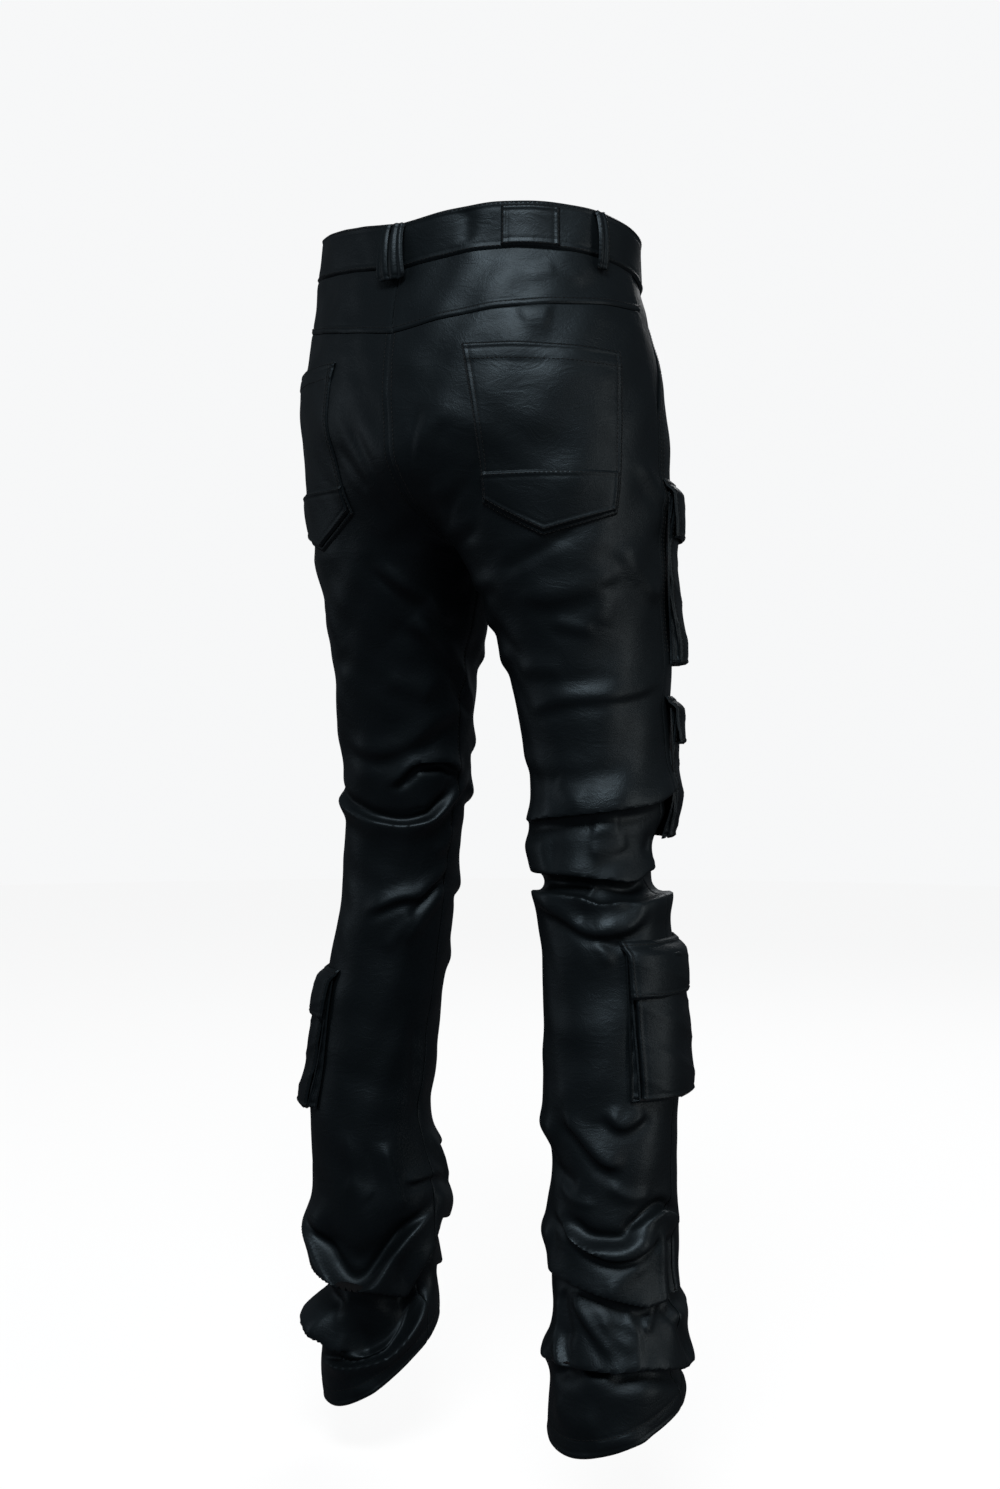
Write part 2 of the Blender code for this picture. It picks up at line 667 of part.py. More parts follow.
def make_cargo(row):
    place, side, _, _, top, bottom, flap = row[:7]
    _, _, u_front, u_back = cargo_frame(row)
    us = np.linspace(u_front, u_back, CARGO_COLUMNS_ACROSS + 1)
    drops = np.linspace(top, bottom, CARGO_ROWS_DOWN + 1)[:, None]
    flip = side == "right"
    face = cargo_points(row, us, drops, face_height(row, drops))
    thicken(add_object(f"cargo_{place}_{side}", grid(face, flip)), WALL)

    # The gusset runs down one side, along the bottom and up the other side.
    down = np.linspace(top, bottom, CARGO_ROWS_DOWN + 1)
    path_u = np.concatenate([np.full(len(down) - 1, u_front), us, np.full(len(down) - 1, u_back)])
    path_drop = np.concatenate([down[:-1], np.full(len(us), bottom), down[-2::-1]])
    rim = face_height(row, path_drop) - GUSSET_BELOW_FACE
    foot = cargo_points(row, path_u, path_drop, ON_PANEL, GUSSET_CLEAR)
    edge = cargo_points(row, path_u, path_drop, rim)
    gusset = add_object(f"gusset_{place}_{side}", grid([foot, edge], not flip))
    thicken(gusset, WALL)

    # The flap is sewn above the pocket, steps out over it and hangs on its face.
    spread = 0.004 / (2 * math.pi * UNROLL_RADIUS)
    flap_us = np.linspace(u_front - spread, u_back + spread, CARGO_COLUMNS_ACROSS + 1)
    start = top - FLAP_RISE
    levels = np.array([start, top - 0.001, top + flap / 2, start + flap])
    heights = face_height(row, levels)
    clear = np.full(len(levels), FLAP_PROUD)
    heights[0], clear[0] = 0.0, ON_PANEL
    points = cargo_points(row, flap_us, levels[:, None], heights[:, None], clear[:, None])
    thicken(add_object(f"flap_{place}_{side}", grid(points, flip)), WALL)


# ---------------------------------------------------------------- build
def main():
    for old in list(bpy.data.objects):
        bpy.data.objects.remove(old)
    bpy.context.scene.collection.children.link(bpy.data.collections.new(COLLECTION))
    material("black_leather", LEATHER, LEATHER_ROUGHNESS)
    material("button_metal", METAL, 0.3, 1.0)
    band_proud = make_waistband()
    make_patch(band_proud)
    make_loops(band_proud)
    make_centre_loop(band_proud)
    make_fly()
    make_button(band_proud)
    for side in SIDES:
        make_yoke(side)
        make_back(side)
        make_front(side)
        make_facing(side)
        make_back_pocket(side)
    for row in CARGO:
        make_cargo(row)


main()
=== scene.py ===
# %% [markdown]
# # Stacked leather cargo trousers
#
# These are slim cargo trousers in black coated leather. They are cut far too long
# for the leg, so that the leather stacks in folds above the hems. They stand open
# and hollow, as they look when somebody wears them.
#
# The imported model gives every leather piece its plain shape. This script lays a
# finer piece of leather over each one, with its creases, rolled edges and thread.
# Lengths are in metres, +Z is up, -Y is the wearer's front and -X the right side.

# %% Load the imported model
import math

import bpy
import numpy as np
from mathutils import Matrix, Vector


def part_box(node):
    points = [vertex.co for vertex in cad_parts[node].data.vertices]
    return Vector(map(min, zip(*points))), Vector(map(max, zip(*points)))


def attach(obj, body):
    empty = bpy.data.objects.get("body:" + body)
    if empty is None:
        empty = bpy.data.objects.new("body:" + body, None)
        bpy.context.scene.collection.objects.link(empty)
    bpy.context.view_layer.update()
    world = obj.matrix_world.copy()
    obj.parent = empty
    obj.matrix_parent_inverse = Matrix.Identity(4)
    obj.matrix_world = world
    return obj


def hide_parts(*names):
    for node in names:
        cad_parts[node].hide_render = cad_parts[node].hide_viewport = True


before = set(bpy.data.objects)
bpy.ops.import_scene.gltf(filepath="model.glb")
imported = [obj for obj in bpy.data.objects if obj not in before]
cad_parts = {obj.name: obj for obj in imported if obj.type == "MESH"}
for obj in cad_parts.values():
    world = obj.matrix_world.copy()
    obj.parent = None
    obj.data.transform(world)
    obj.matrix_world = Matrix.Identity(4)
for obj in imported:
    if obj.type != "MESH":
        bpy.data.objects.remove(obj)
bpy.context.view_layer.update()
bpy.ops.object.select_all(action="DESELECT")
print(f"{len(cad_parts)} packed pieces")

# %% [markdown]
# ## The shape of the leather
#
# A tailor drapes flat leather on a form, and the same idea works here. One formula
# stands for the form: `leather_point` gives the outer face of the leather at any
# place, named by how far round it is (`u`) and how far below the waist (`drop`).
# Every piece is then a flat grid whose points are moved on to the form. Pieces that
# share the form meet exactly at their seams, and a pocket follows the leg under it.
#
# The form needs only a few sections: half ellipses for the hips, rings for the
# legs, and smooth curves between them.

# %% Sections of the hips and the legs
SIDES = {"right": -1.0, "left": 1.0}
SEAM_GAP = 0.0003
BAND_DEPTH = 0.038
HIP_DROP = 0.19
CROTCH_DROP = 0.271
SIDE_STARTS_ABOVE = 0.07
SIDE_ENDS_BELOW = 0.10
RISE_ROUNDNESS = 0.56
STACK_DROP = 0.78

# drop, shift, half width, depth in front, depth behind
BODY = [
    (0.000, 0.004, 0.148, 0.106, 0.110),
    (0.040, 0.004, 0.150, 0.108, 0.113),
    (0.090, 0.002, 0.159, 0.114, 0.124),
    (0.135, 0.001, 0.167, 0.117, 0.131),
    (0.190, -0.002, 0.168, 0.118, 0.133),
    (0.230, -0.003, 0.168, 0.118, 0.130),
    (0.271, -0.003, 0.164, 0.114, 0.120),
    (0.331, -0.003, 0.160, 0.108, 0.112),
]

# drop, centre out from the middle line, centre back, half width, half depth
LEGS = {
    "right": [
        (0.271, 0.084, -0.002, 0.084, 0.092),
        (0.306, 0.088, -0.005, 0.078, 0.085),
        (0.343, 0.092, -0.012, 0.071, 0.079),
        (0.396, 0.102, -0.010, 0.063, 0.069),
        (0.432, 0.107, -0.010, 0.060, 0.064),
        (0.475, 0.112, -0.007, 0.058, 0.061),
        (0.516, 0.110, -0.001, 0.052, 0.056),
        (0.541, 0.116, 0.003, 0.049, 0.053),
        (0.576, 0.123, 0.006, 0.054, 0.055),
        (0.620, 0.129, 0.010, 0.053, 0.054),
        (0.716, 0.139, 0.023, 0.054, 0.054),
        (0.766, 0.145, 0.029, 0.050, 0.051),
        (0.816, 0.148, 0.034, 0.052, 0.053),
        (0.866, 0.154, 0.041, 0.049, 0.050),
        (0.912, 0.158, 0.045, 0.053, 0.054),
        (0.955, 0.158, 0.047, 0.054, 0.055),
    ],
    "left": [
        (0.271, 0.083, -0.003, 0.083, 0.088),
        (0.306, 0.086, -0.005, 0.073, 0.078),
        (0.326, 0.088, -0.008, 0.070, 0.074),
        (0.363, 0.095, -0.013, 0.063, 0.069),
        (0.413, 0.102, -0.022, 0.060, 0.063),
        (0.464, 0.108, -0.031, 0.057, 0.060),
        (0.508, 0.113, -0.034, 0.053, 0.055),
        (0.552, 0.118, -0.035, 0.051, 0.054),
        (0.595, 0.124, -0.034, 0.052, 0.054),
        (0.672, 0.136, -0.031, 0.054, 0.055),
        (0.730, 0.141, -0.028, 0.054, 0.055),
        (0.769, 0.145, -0.025, 0.055, 0.056),
        (0.816, 0.140, -0.030, 0.060, 0.060),
        (0.859, 0.138, -0.030, 0.060, 0.060),
        (0.892, 0.138, -0.029, 0.056, 0.057),
        (0.925, 0.136, -0.029, 0.052, 0.053),
        (0.960, 0.136, -0.028, 0.053, 0.054),
        (0.990, 0.135, -0.028, 0.052, 0.053),
    ],
}

# How far the waist edge lies above its level: u, right, left
WAIST = [
    (0.00, -0.024, -0.024),
    (0.25, -0.020, -0.018),
    (0.45, -0.012, 0.000),
    (0.65, -0.002, 0.008),
    (0.80, 0.000, 0.002),
    (1.00, -0.009, -0.009),
]
YOKE = [(0.48, 0.071), (0.66, 0.081), (0.85, 0.089), (1.00, 0.095)]
HEM_TILT = {"right": (0.022, 112.0), "left": (0.038, 60.0)}  # lift, lowest turn
HEM_DROP = {side: rows[-1][0] for side, rows in LEGS.items()}
print("hems at", HEM_DROP)


# %% [markdown]
# A table gives the shape at a few levels only. `column` draws a smooth curve through
# one of its columns, as a bent spline would, so that no kink shows between rows.

# %% Curves through the tables
def column(rows, index, at):
    """One column of a table as a smooth curve over its first column."""
    table = np.array(rows, float)
    xs, ys = table[:, 0], table[:, index]
    slopes = np.gradient(ys, xs)
    at = np.clip(np.asarray(at, float), xs[0], xs[-1])
    i = np.clip(np.searchsorted(xs, at, side="right") - 1, 0, len(xs) - 2)
    step = xs[i + 1] - xs[i]
    t = (at - xs[i]) / step
    start = (2 * t**3 - 3 * t**2 + 1) * ys[i] + (t**3 - 2 * t**2 + t) * step * slopes[i]
    end = (3 * t**2 - 2 * t**3) * ys[i + 1] + (t**3 - t**2) * step * slopes[i + 1]
    return start + end


def smooth_step(low, high, at):
    """0 below low, 1 above high, and a soft curve between."""
    t = np.clip((at - low) / (high - low), 0.0, 1.0)
    return t * t * (3 - 2 * t)


def bump_at(at, middle, width):
    """A bell curve: 1 at the middle, and next to nothing two widths away."""
    return np.exp(-(((at - middle) / width) ** 2))


print("half width at the hips", round(float(column(BODY, 2, 0.15)), 3))

# %% [markdown]
# ## Folds
#
# Leather is stiff, so it doesn't ripple as cotton does. It buckles into a few round
# ridges with a hollow beside each, and in a stack one layer hangs over the next. A
# cloth simulation could find such folds, but not these ones. Each fold is listed
# instead, as a smooth line of points on the leg.
#
# `height` and `width` are the ridge's, and `hollow` is the depth of the dark valley
# beside it. `lean` says which way it falls: near 1 the ridge hangs down like a lip
# over the hollow below it, near -1 it stands up like the edge of a sling, with the
# hollow above, and 0 is a plain round ridge. A negative height makes a trough.
#
# Points are turns round the leg in degrees and depths below the waist. A turn of 0
# is the outer side, 90 the back, 180 the inside and -90 the front. Every length in
# the two tables is in millimetres, which keeps them short enough to read.

# %% Folds of the right leg
# height, width, hollow and lean, then the turn and depth of each point
RIGHT_FOLDS = [
    # seat and thigh, back
    (1.8, 11, 0, 0, (78, 96), (89, 94), (100, 96)),
    (-2.6, 5, 0, 0, (142, 172), (158, 208), (168, 262)),
    (-2.2, 4, 0, 0, (158, 158), (168, 200), (174, 256)),
    (-2, 5, 0, 0, (120, 204), (142, 230), (160, 262)),
    (1, 6, 0, 0, (93, 64), (83, 58), (72, 55)),
    (1.2, 7, 0, 0, (62, 64), (52, 55), (41, 45)),
    (-1.8, 5, 0, 0, (133, 2), (132, 18), (133, 32)),
    (1.6, 6, 0.8, 0.2, (176, 236), (150, 230), (130, 214)),
    (2.2, 7, 1.2, 0.3, (178, 262), (155, 262), (124, 250)),
    (-3, 6, 0, 0, (56, 262), (88, 284), (110, 296)),
    (2.8, 9, 1.2, 0.3, (30, 288), (46, 304), (64, 313), (100, 315)),
    (2, 6, 0.6, 0.2, (48, 341), (61, 339), (76, 334)),
    (1.6, 8, 0, 0, (41, 306), (43, 322), (46, 338)),
    (1.8, 8, 0.8, 0.3, (112, 375), (93, 370), (72, 373)),
    (2.2, 7, 0.9, 0.5, (-6, 378), (28, 391), (52, 394), (75, 396), (116, 408)),
    (-1, 6, 0, 0, (30, 377), (62, 380), (104, 386)),
    (2.6, 8, 0.6, 0.2, (20, 203), (-4, 230), (-34, 238)),
    (2.8, 9, 0.6, 0.2, (32, 270), (15, 296), (-4, 318)),
    (2.6, 7, 1.4, 0.3, (176, 292), (142, 303), (108, 300)),
    (2.2, 7, 1, 0.3, (182, 322), (150, 332), (118, 330)),
    (2, 9, 0.8, 0.3, (186, 352), (145, 364), (106, 352)),
    (1.6, 11, 0.6, 0.2, (30, 436), (95, 449), (160, 437)),
    # knee, back: one lip hangs over the knee, and a sling stands up below it
    (5.8, 10, 5, 0.9, (168, 500), (140, 496), (108, 491), (75, 487), (42, 482.5), (13, 478),
     (-8, 470), (-40, 474), (-80, 482)),
    (1.2, 16, 0, 0, (76, 461), (28, 467), (-20, 464)),
    (1.6, 8, 0.6, 0.3, (96, 460), (85, 468), (70, 476)),
    (2, 9, 0, 0, (64, 498), (50, 496), (36, 494)),
    (2.4, 8, 0.8, 0.2, (64, 518), (43, 514), (26, 509)),
    (4, 12, 0, 0, (165, 514), (130, 517), (92, 515)),
    (-1.8, 4, 0, 0, (4, 502), (6, 511), (9, 520)),
    (4.6, 8, 6.5, 0.8, (178, 538), (140, 536), (115, 535), (88, 535), (68, 536), (55, 537.5),
     (46, 538), (30, 540.5), (20, 540), (8, 534), (-16, 531), (-60, 534)),
    (2.6, 3, 0, 0, (72, 552), (64, 547), (61, 541), (54, 537)),
    (7, 9, 5, -0.8, (184, 555), (150, 551), (118, 550), (90, 551), (71, 553), (62, 557),
     (45, 556), (27, 556), (0, 553), (-30, 552), (-85, 558)),
    (-2.8, 6, 0, 0, (88, 566), (62, 568), (40, 565), (24, 563)),
    (4.2, 6, 2, 0.3, (130, 560), (108, 565), (92, 570), (77, 577), (65, 580), (52, 579),
     (35, 575), (18, 564)),
    (-2.2, 4, 0, 0, (68, 583), (55, 590), (40, 589)),
    (1.8, 5, 0, 0, (68, 584), (61, 593), (57, 606)),
    (-7, 26, 0, 0, (-100, 518), (-60, 520), (-30, 520), (2, 516)),
    # calf, back
    (1.4, 13, 0, 0, (140, 640), (92, 655), (50, 648)),
    (3, 7, 1.8, 0.4, (64, 714), (50, 726), (38, 722), (28, 714)),
    (4, 8, 2.2, 0.5, (106, 721), (92, 730), (78, 743), (66, 753), (46, 758)),
    (4, 11, 0, 0, (175, 738), (140, 736), (110, 738)),
    (-4, 7, 0, 0, (155, 757), (122, 766), (88, 774)),
    # stack, back
    (5.2, 6, 6, -0.6, (52, 809), (36, 803), (25, 797), (12, 793), (0, 797), (-20, 808)),
    (-5, 7, 0, 0, (1, 808), (0, 836), (2, 864)),
    (3, 5, 0, 0, (15, 800), (12, 830), (14, 864)),
    (4.6, 7, 4.6, -0.5, (116, 804), (98, 808), (84, 815), (65, 817), (48, 816), (34, 811),
     (18, 801)),
    (4.2, 5, 3, 0.6, (124, 796), (104, 805), (92, 814), (76, 822), (60, 826), (45, 825),
     (30, 819), (12, 806)),
    (4.6, 11, 0, 0, (175, 816), (145, 818), (116, 815)),
    (1.8, 6, 0, 0, (68, 847), (48, 838), (30, 828)),
    (5.6, 9, 5.5, 0.9, (156, 842), (118, 844), (92, 847), (70, 852), (50, 857), (30, 861),
     (15, 859), (-5, 857), (-45, 861)),
    (-3.4, 7, 0, 0, (118, 854), (110, 872), (99, 892)),
    (3.6, 5, 1.2, 0.2, (104, 853), (90, 868), (76, 881), (56, 894)),
    (2.8, 4, 0, 0, (11, 860), (22, 869), (34, 880)),
    (-3.2, 5, 0, 0, (11, 864), (-6, 884), (-22, 907)),
    (6, 13, 0, 0, (16, 872), (-20, 874), (-70, 872)),
    (4.6, 6, 2.4, -0.5, (126, 882), (110, 894), (99, 906), (84, 913), (68, 912), (54, 905)),
    (1.8, 3, 0, 0, (99, 899), (84, 907), (66, 908)),
    (6.2, 13, 0, 0, (180, 908), (150, 907), (116, 905)),
    (7.2, 10, 7.5, 0.9, (156, 915), (112, 909), (82, 907), (62, 907), (38, 905), (17, 907),
     (0, 911), (-35, 912), (-85, 910)),
    (2.4, 10, 0, 0, (126, 938), (96, 950), (70, 944)),
    (2, 7, 0, 0, (84, 968), (54, 958), (24, 962)),
    (1.8, 4, 0, 0, (72, 868), (62, 880), (40, 888)),
    (1.6, 4, 0, 0, (48, 864), (40, 882), (44, 902)),
    (1.8, 4, 0, 0, (128, 862), (122, 880), (126, 904)),
    (2, 5, 0, 0, (66, 770), (44, 780), (20, 778)),
    (1.4, 4, 0, 0, (118, 772), (96, 784), (72, 786)),
    # front and inside
    (2, 7, 0.8, 0.2, (-176, 216), (-150, 206), (-118, 188)),
    (2.4, 8, 1, 0.2, (-178, 244), (-148, 240), (-108, 224)),
    (2.6, 10, 0.8, 0.3, (-176, 292), (-122, 312), (-58, 294)),
    (2.2, 9, 0.8, 0.3, (-178, 335), (-130, 352), (-78, 344)),
    (3.4, 10, 1.4, 0.4, (-156, 402), (-104, 419), (-56, 402)),
    (3, 10, 1.2, 0.4, (-165, 448), (-100, 462), (-40, 444)),
    (3.6, 8, 2, 0.6, (-176, 500), (-140, 512), (-100, 508), (-60, 500)),
    (4, 9, 3, -0.5, (-172, 566), (-130, 584), (-95, 580), (-55, 570)),
    (2.2, 12, 0.8, 0.3, (-176, 650), (-120, 668), (-70, 652)),
    (3.6, 9, 2, 0.5, (-186, 735), (-130, 752), (-80, 740)),
    (6, 9, 5, 0.7, (-196, 800), (-150, 820), (-100, 834), (-60, 822), (-28, 806)),
    (-4, 8, 0, 0, (-60, 846), (-100, 856), (-150, 842)),
    (6, 9, 5, 0.8, (-200, 862), (-150, 880), (-105, 892), (-62, 884), (-34, 868)),
    (5.8, 9, 4, 0.8, (-200, 906), (-150, 918), (-100, 922), (-60, 914)),
]
print(len(RIGHT_FOLDS), "folds on the right leg")

# %% [markdown]
# The left leg carries less weight at the knee, so its folds hang lower. Behind the
# knee a deep sling rises towards the inside, and in the stack a V-shaped sling lies
# over a dark hollow.

# %% Folds of the left leg
LEFT_FOLDS = [
    # seat and thigh, back
    (1.4, 6, 0, 0, (148, 221), (153, 227), (158, 231)),
    (-2.6, 5, 0, 0, (148, 165), (161, 204), (170, 258)),
    (-2.2, 5, 0, 0, (130, 180), (147, 216), (164, 262)),
    (1.8, 7, 0.8, 0.2, (178, 240), (158, 250), (134, 262)),
    (3, 6, 2.2, 0.4, (118, 281), (127, 288), (138, 302), (148, 318), (162, 333)),
    (4, 7, 2.2, 0.3, (120, 326), (132, 331), (148, 343), (164, 357), (178, 372), (188, 390),
     (206, 406)),
    (2, 8, 0, 0, (196, 298), (199, 330), (199, 362)),
    (2.2, 10, 0.6, 0.2, (112, 377), (134, 384), (154, 393)),
    (3.2, 9, 1.4, 0.4, (66, 426), (84, 436), (106, 440), (130, 432), (154, 415), (184, 400)),
    (2, 10, 0, 0, (54, 302), (68, 340), (76, 362)),
    (2, 10, 0, 0, (76, 364), (68, 382), (54, 402)),
    # knee, back
    (4.4, 6, 4.6, 0.7, (110, 476), (122, 463), (135, 451), (150, 449), (165, 449), (176, 455),
     (186, 468)),
    (5.2, 7, 5.5, -0.55, (14, 470), (38, 480), (55, 488), (75, 494), (90, 499), (105, 502.5),
     (120, 505), (132, 505), (142, 503), (155, 498), (163, 490), (170, 482), (176, 473),
     (186, 458)),
    (2.2, 5, 0, 0, (144, 494), (156, 481), (168, 469)),
    (3, 6, 1, 0.3, (134, 515), (148, 507), (160, 498), (174, 485), (186, 474), (204, 460)),
    (2, 6, 0, 0, (158, 531), (172, 523), (182, 506)),
    (4.2, 7, 1.6, 0.3, (94, 585), (105, 579), (120, 572), (133, 568), (148, 566), (158, 559),
     (168, 552), (184, 540)),
    (-2.2, 4, 0, 0, (140, 587), (155, 572), (168, 558), (184, 545)),
    (3, 6, 0, 0, (138, 612), (148, 598), (158, 585), (168, 573), (182, 557)),
    (1.6, 6, 0, 0, (122, 618), (133, 600), (148, 586)),
    # calf, back
    (-2.8, 6, 0, 0, (161, 672), (168, 725), (180, 780)),
    (3.4, 8, 1.2, 0.2, (188, 782), (204, 808), (220, 838)),
    (3.2, 6, 0, 0, (138, 784), (142, 815), (148, 850)),
    (1.4, 9, 0, 0, (98, 821), (112, 828), (122, 836)),
    (1.6, 6, 0, 0, (104, 770), (108, 820), (116, 868)),
    (-1.4, 5, 0, 0, (122, 780), (126, 826), (130, 870)),
    (2.6, 6, 2, 0.5, (146, 823), (165, 820), (185, 819), (208, 826)),
    (5, 12, 0, 0, (176, 840), (205, 847), (245, 842)),
    # stack, back: a V-shaped sling, the hollow under it, and the cuff's upper edge
    (-5.6, 12, 0, 0, (62, 866), (88, 882), (112, 889), (138, 872), (164, 846)),
    (9, 18, 0, 0, (-30, 858), (10, 864), (45, 868), (82, 872)),
    (-7, 12, 0, 0, (-20, 922), (20, 926), (60, 930), (96, 934)),
    (9, 14, 0, 0, (-20, 950), (20, 950), (50, 955), (82, 966)),
    (7.2, 7, 7, -0.7, (26, 854), (50, 872), (68, 886), (82, 896), (96, 905), (108, 908),
     (122, 904), (134, 893), (145, 879), (156, 867), (170, 854), (188, 842)),
    (8, 9, 8, 0.9, (34, 888), (70, 908), (88, 915), (104, 918), (120, 920), (136, 920),
     (157, 919), (165, 906), (174, 890), (188, 872), (208, 856)),
    (-5, 8, 0, 0, (10, 918), (40, 926), (70, 934), (98, 938)),
    (-15, 19, 0, 0.6, (84, 977), (105, 975), (124, 969), (138, 962), (150, 952), (163, 939),
     (176, 924), (192, 906)),
    (5, 13, 0, 0, (15, 940), (45, 946), (78, 952)),
    (9, 8, 5, 0.8, (2, 944), (35, 955), (52, 960), (68, 967), (80, 974), (100, 979)),
    (5.8, 5, 6, -0.6, (48, 988), (75, 987), (90, 987), (105, 985), (124, 979), (138, 973),
     (150, 963), (163, 950), (174, 936), (190, 918)),
    (1.6, 8, 0, 0, (96, 1004), (112, 1007), (128, 1003)),
    # front and inside
    (2, 7, 0.8, 0.2, (-176, 214), (-148, 208), (-116, 192)),
    (2.4, 8, 1, 0.2, (-178, 242), (-146, 242), (-104, 228)),
    (2.6, 10, 1, 0.3, (-168, 300), (-118, 316), (-60, 300)),
    (2.4, 9, 0.8, 0.3, (-160, 348), (-112, 362), (-70, 352)),
    (3.4, 10, 1.4, 0.4, (-158, 425), (-108, 440), (-54, 424)),
    (3.6, 9, 2, 0.6, (-168, 468), (-130, 484), (-90, 486), (-55, 474)),
    (4, 9, 1.6, 0.3, (-130, 500), (-60, 512), (8, 492)),
    (3.4, 9, 1.4, 0.4, (-160, 556), (-108, 572), (-44, 562)),
    (2, 11, 0.6, 0.3, (-164, 622), (-104, 636), (-50, 620)),
    (4.4, 10, 2.6, 0.6, (-150, 790), (-96, 812), (-40, 796)),
    (6.6, 10, 4.5, 0.8, (-170, 856), (-120, 874), (-70, 880), (-30, 872), (6, 860)),
    (6, 10, 4.5, 0.7, (-160, 900), (-110, 918), (-60, 926), (-20, 936), (14, 946)),
    (4.8, 10, 3, 0.6, (-140, 944), (-100, 962), (-60, 974), (-20, 966)),
]
FOLDS = {"right": RIGHT_FOLDS, "left": LEFT_FOLDS}
print(len(LEFT_FOLDS), "folds on the left leg")


# %% [markdown]
# To raise a fold, every point of the leather needs its distance from the fold's
# line. The leg is unrolled flat for that, so that a plain distance will do. Points
# that are far away are skipped, which keeps this quick on large grids. The flank
# that a fold leans over is made steep, and its crest is moved out over the hollow.

# %% Raise the folds
MM = 1000.0
FOLD_STEPS = 40
UNROLL_RADIUS = 0.055
FOLD_REACH = 4.0  # in widths from its line: past this, a fold moves nothing
END_SHARE = 0.22  # of its length, over which each end of a fold fades
STEEPER, GENTLER = 0.72, 0.35  # how much a full lean changes its two flanks
VALLEY_AT, VALLEY_WIDTH = 1.25, 0.8  # in widths from the crest


def lengths_along(points):
    """How far along a row of points each of them lies."""
    return np.concatenate([[0], np.cumsum(np.linalg.norm(np.diff(points, axis=0), axis=-1))])


def fold_line(points):
    """A smooth line through a fold's points: its middle turn, and x and depth."""
    points = np.array(points, float)
    points[:, 0] = np.radians(points[:, 0])
    points[:, 1] /= MM
    middle = (points[:, 0].min() + points[:, 0].max()) / 2
    points[:, 0] = (points[:, 0] - middle) * UNROLL_RADIUS
    along = lengths_along(points)
    table = np.column_stack([along / along[-1], points])
    at = np.linspace(0, 1, FOLD_STEPS)
    return middle, np.column_stack([column(table, 1, at), column(table, 2, at)]), at


def nearest_on(line, at, points):
    """Each point's distance from a line, whether it lies below, and how far along."""
    start, run = line[:-1], np.diff(line, axis=0)
    run = np.where(np.abs(run) < 1e-9, 1e-9, run)
    offset = points[:, None, :] - start
    share = np.clip((offset * run).sum(-1) / (run * run).sum(-1), 0, 1)
    gap = offset - share[..., None] * run
    distance = np.hypot(gap[..., 0], gap[..., 1])
    best = distance.argmin(axis=1)
    pick = np.arange(len(points))
    share = share[pick, best]
    facing = gap[pick, best, 1] * run[best, 0] - gap[pick, best, 0] * run[best, 1]
    below = facing * np.sign(line[-1, 0] - line[0, 0] + 1e-9) > 0
    return distance[pick, best], below, at[best] + share * (at[1] - at[0])


def fold_field(side, turn, depth):
    """How far the folds move each point outwards, and how far downwards."""
    out, down = np.zeros_like(turn), np.zeros_like(turn)
    for height, width, hollow, lean, *points in FOLDS[side]:
        height, width, hollow = height / MM, width / MM, hollow / MM
        middle, line, at = fold_line(points)
        line[:, 1] -= lean * abs(height)  # so that the crest hangs where the table says
        x = ((turn - middle + math.pi) % (2 * math.pi) - math.pi) * UNROLL_RADIUS
        reach = FOLD_REACH * width
        low, high = line.min(axis=0) - reach, line.max(axis=0) + reach
        near = (x > low[0]) & (x < high[0]) & (depth > low[1]) & (depth < high[1])
        if not near.any():
            continue
        close = np.column_stack([x[near], depth[near]])
        distance, below, along = nearest_on(line, at, close)
        fade = smooth_step(0, END_SHARE, along) * smooth_step(0, END_SHARE, 1 - along)
        sharp_side = below if lean > 0 else ~below
        flank = width * np.where(sharp_side, 1 - STEEPER * abs(lean), 1 + GENTLER * abs(lean))
        ridge = bump_at(distance, 0.0, flank)
        valley = bump_at(distance, VALLEY_AT * width, VALLEY_WIDTH * width) * sharp_side
        out[near] += fade * (height * ridge - hollow * valley)
        down[near] += fade * lean * abs(height) * ridge
    return out, down


knee_fold = fold_field("right", np.array([1.05]), np.array([0.484]))[0]
print("fold height at the right knee", knee_fold)


# %% [markdown]
# Now the form itself. Above the crotch it is the body's half ellipse, and below it
# is the leg's ring. Between them the rise curve blends one into the other, quickly
# at the rise seam and gently at the outer side. The hem of each leg hangs lower on
# one side, and the rows of the stack tilt with it.

# %% The surface that every piece is laid on
NEAR_RISE = 0.45  # of the way from the outer side to the rise seam


def near_rise(u):
    """1 at the rise seam, front or back, fading to 0 towards the outer side."""
    return smooth_step(NEAR_RISE, 1.0, np.abs(2 * u - 1))


def hem_tilt(side, turn, drop):
    tilt, lowest = HEM_TILT[side]
    share = smooth_step(STACK_DROP, HEM_DROP[side], drop)
    return tilt * share * np.cos(turn - math.radians(lowest))


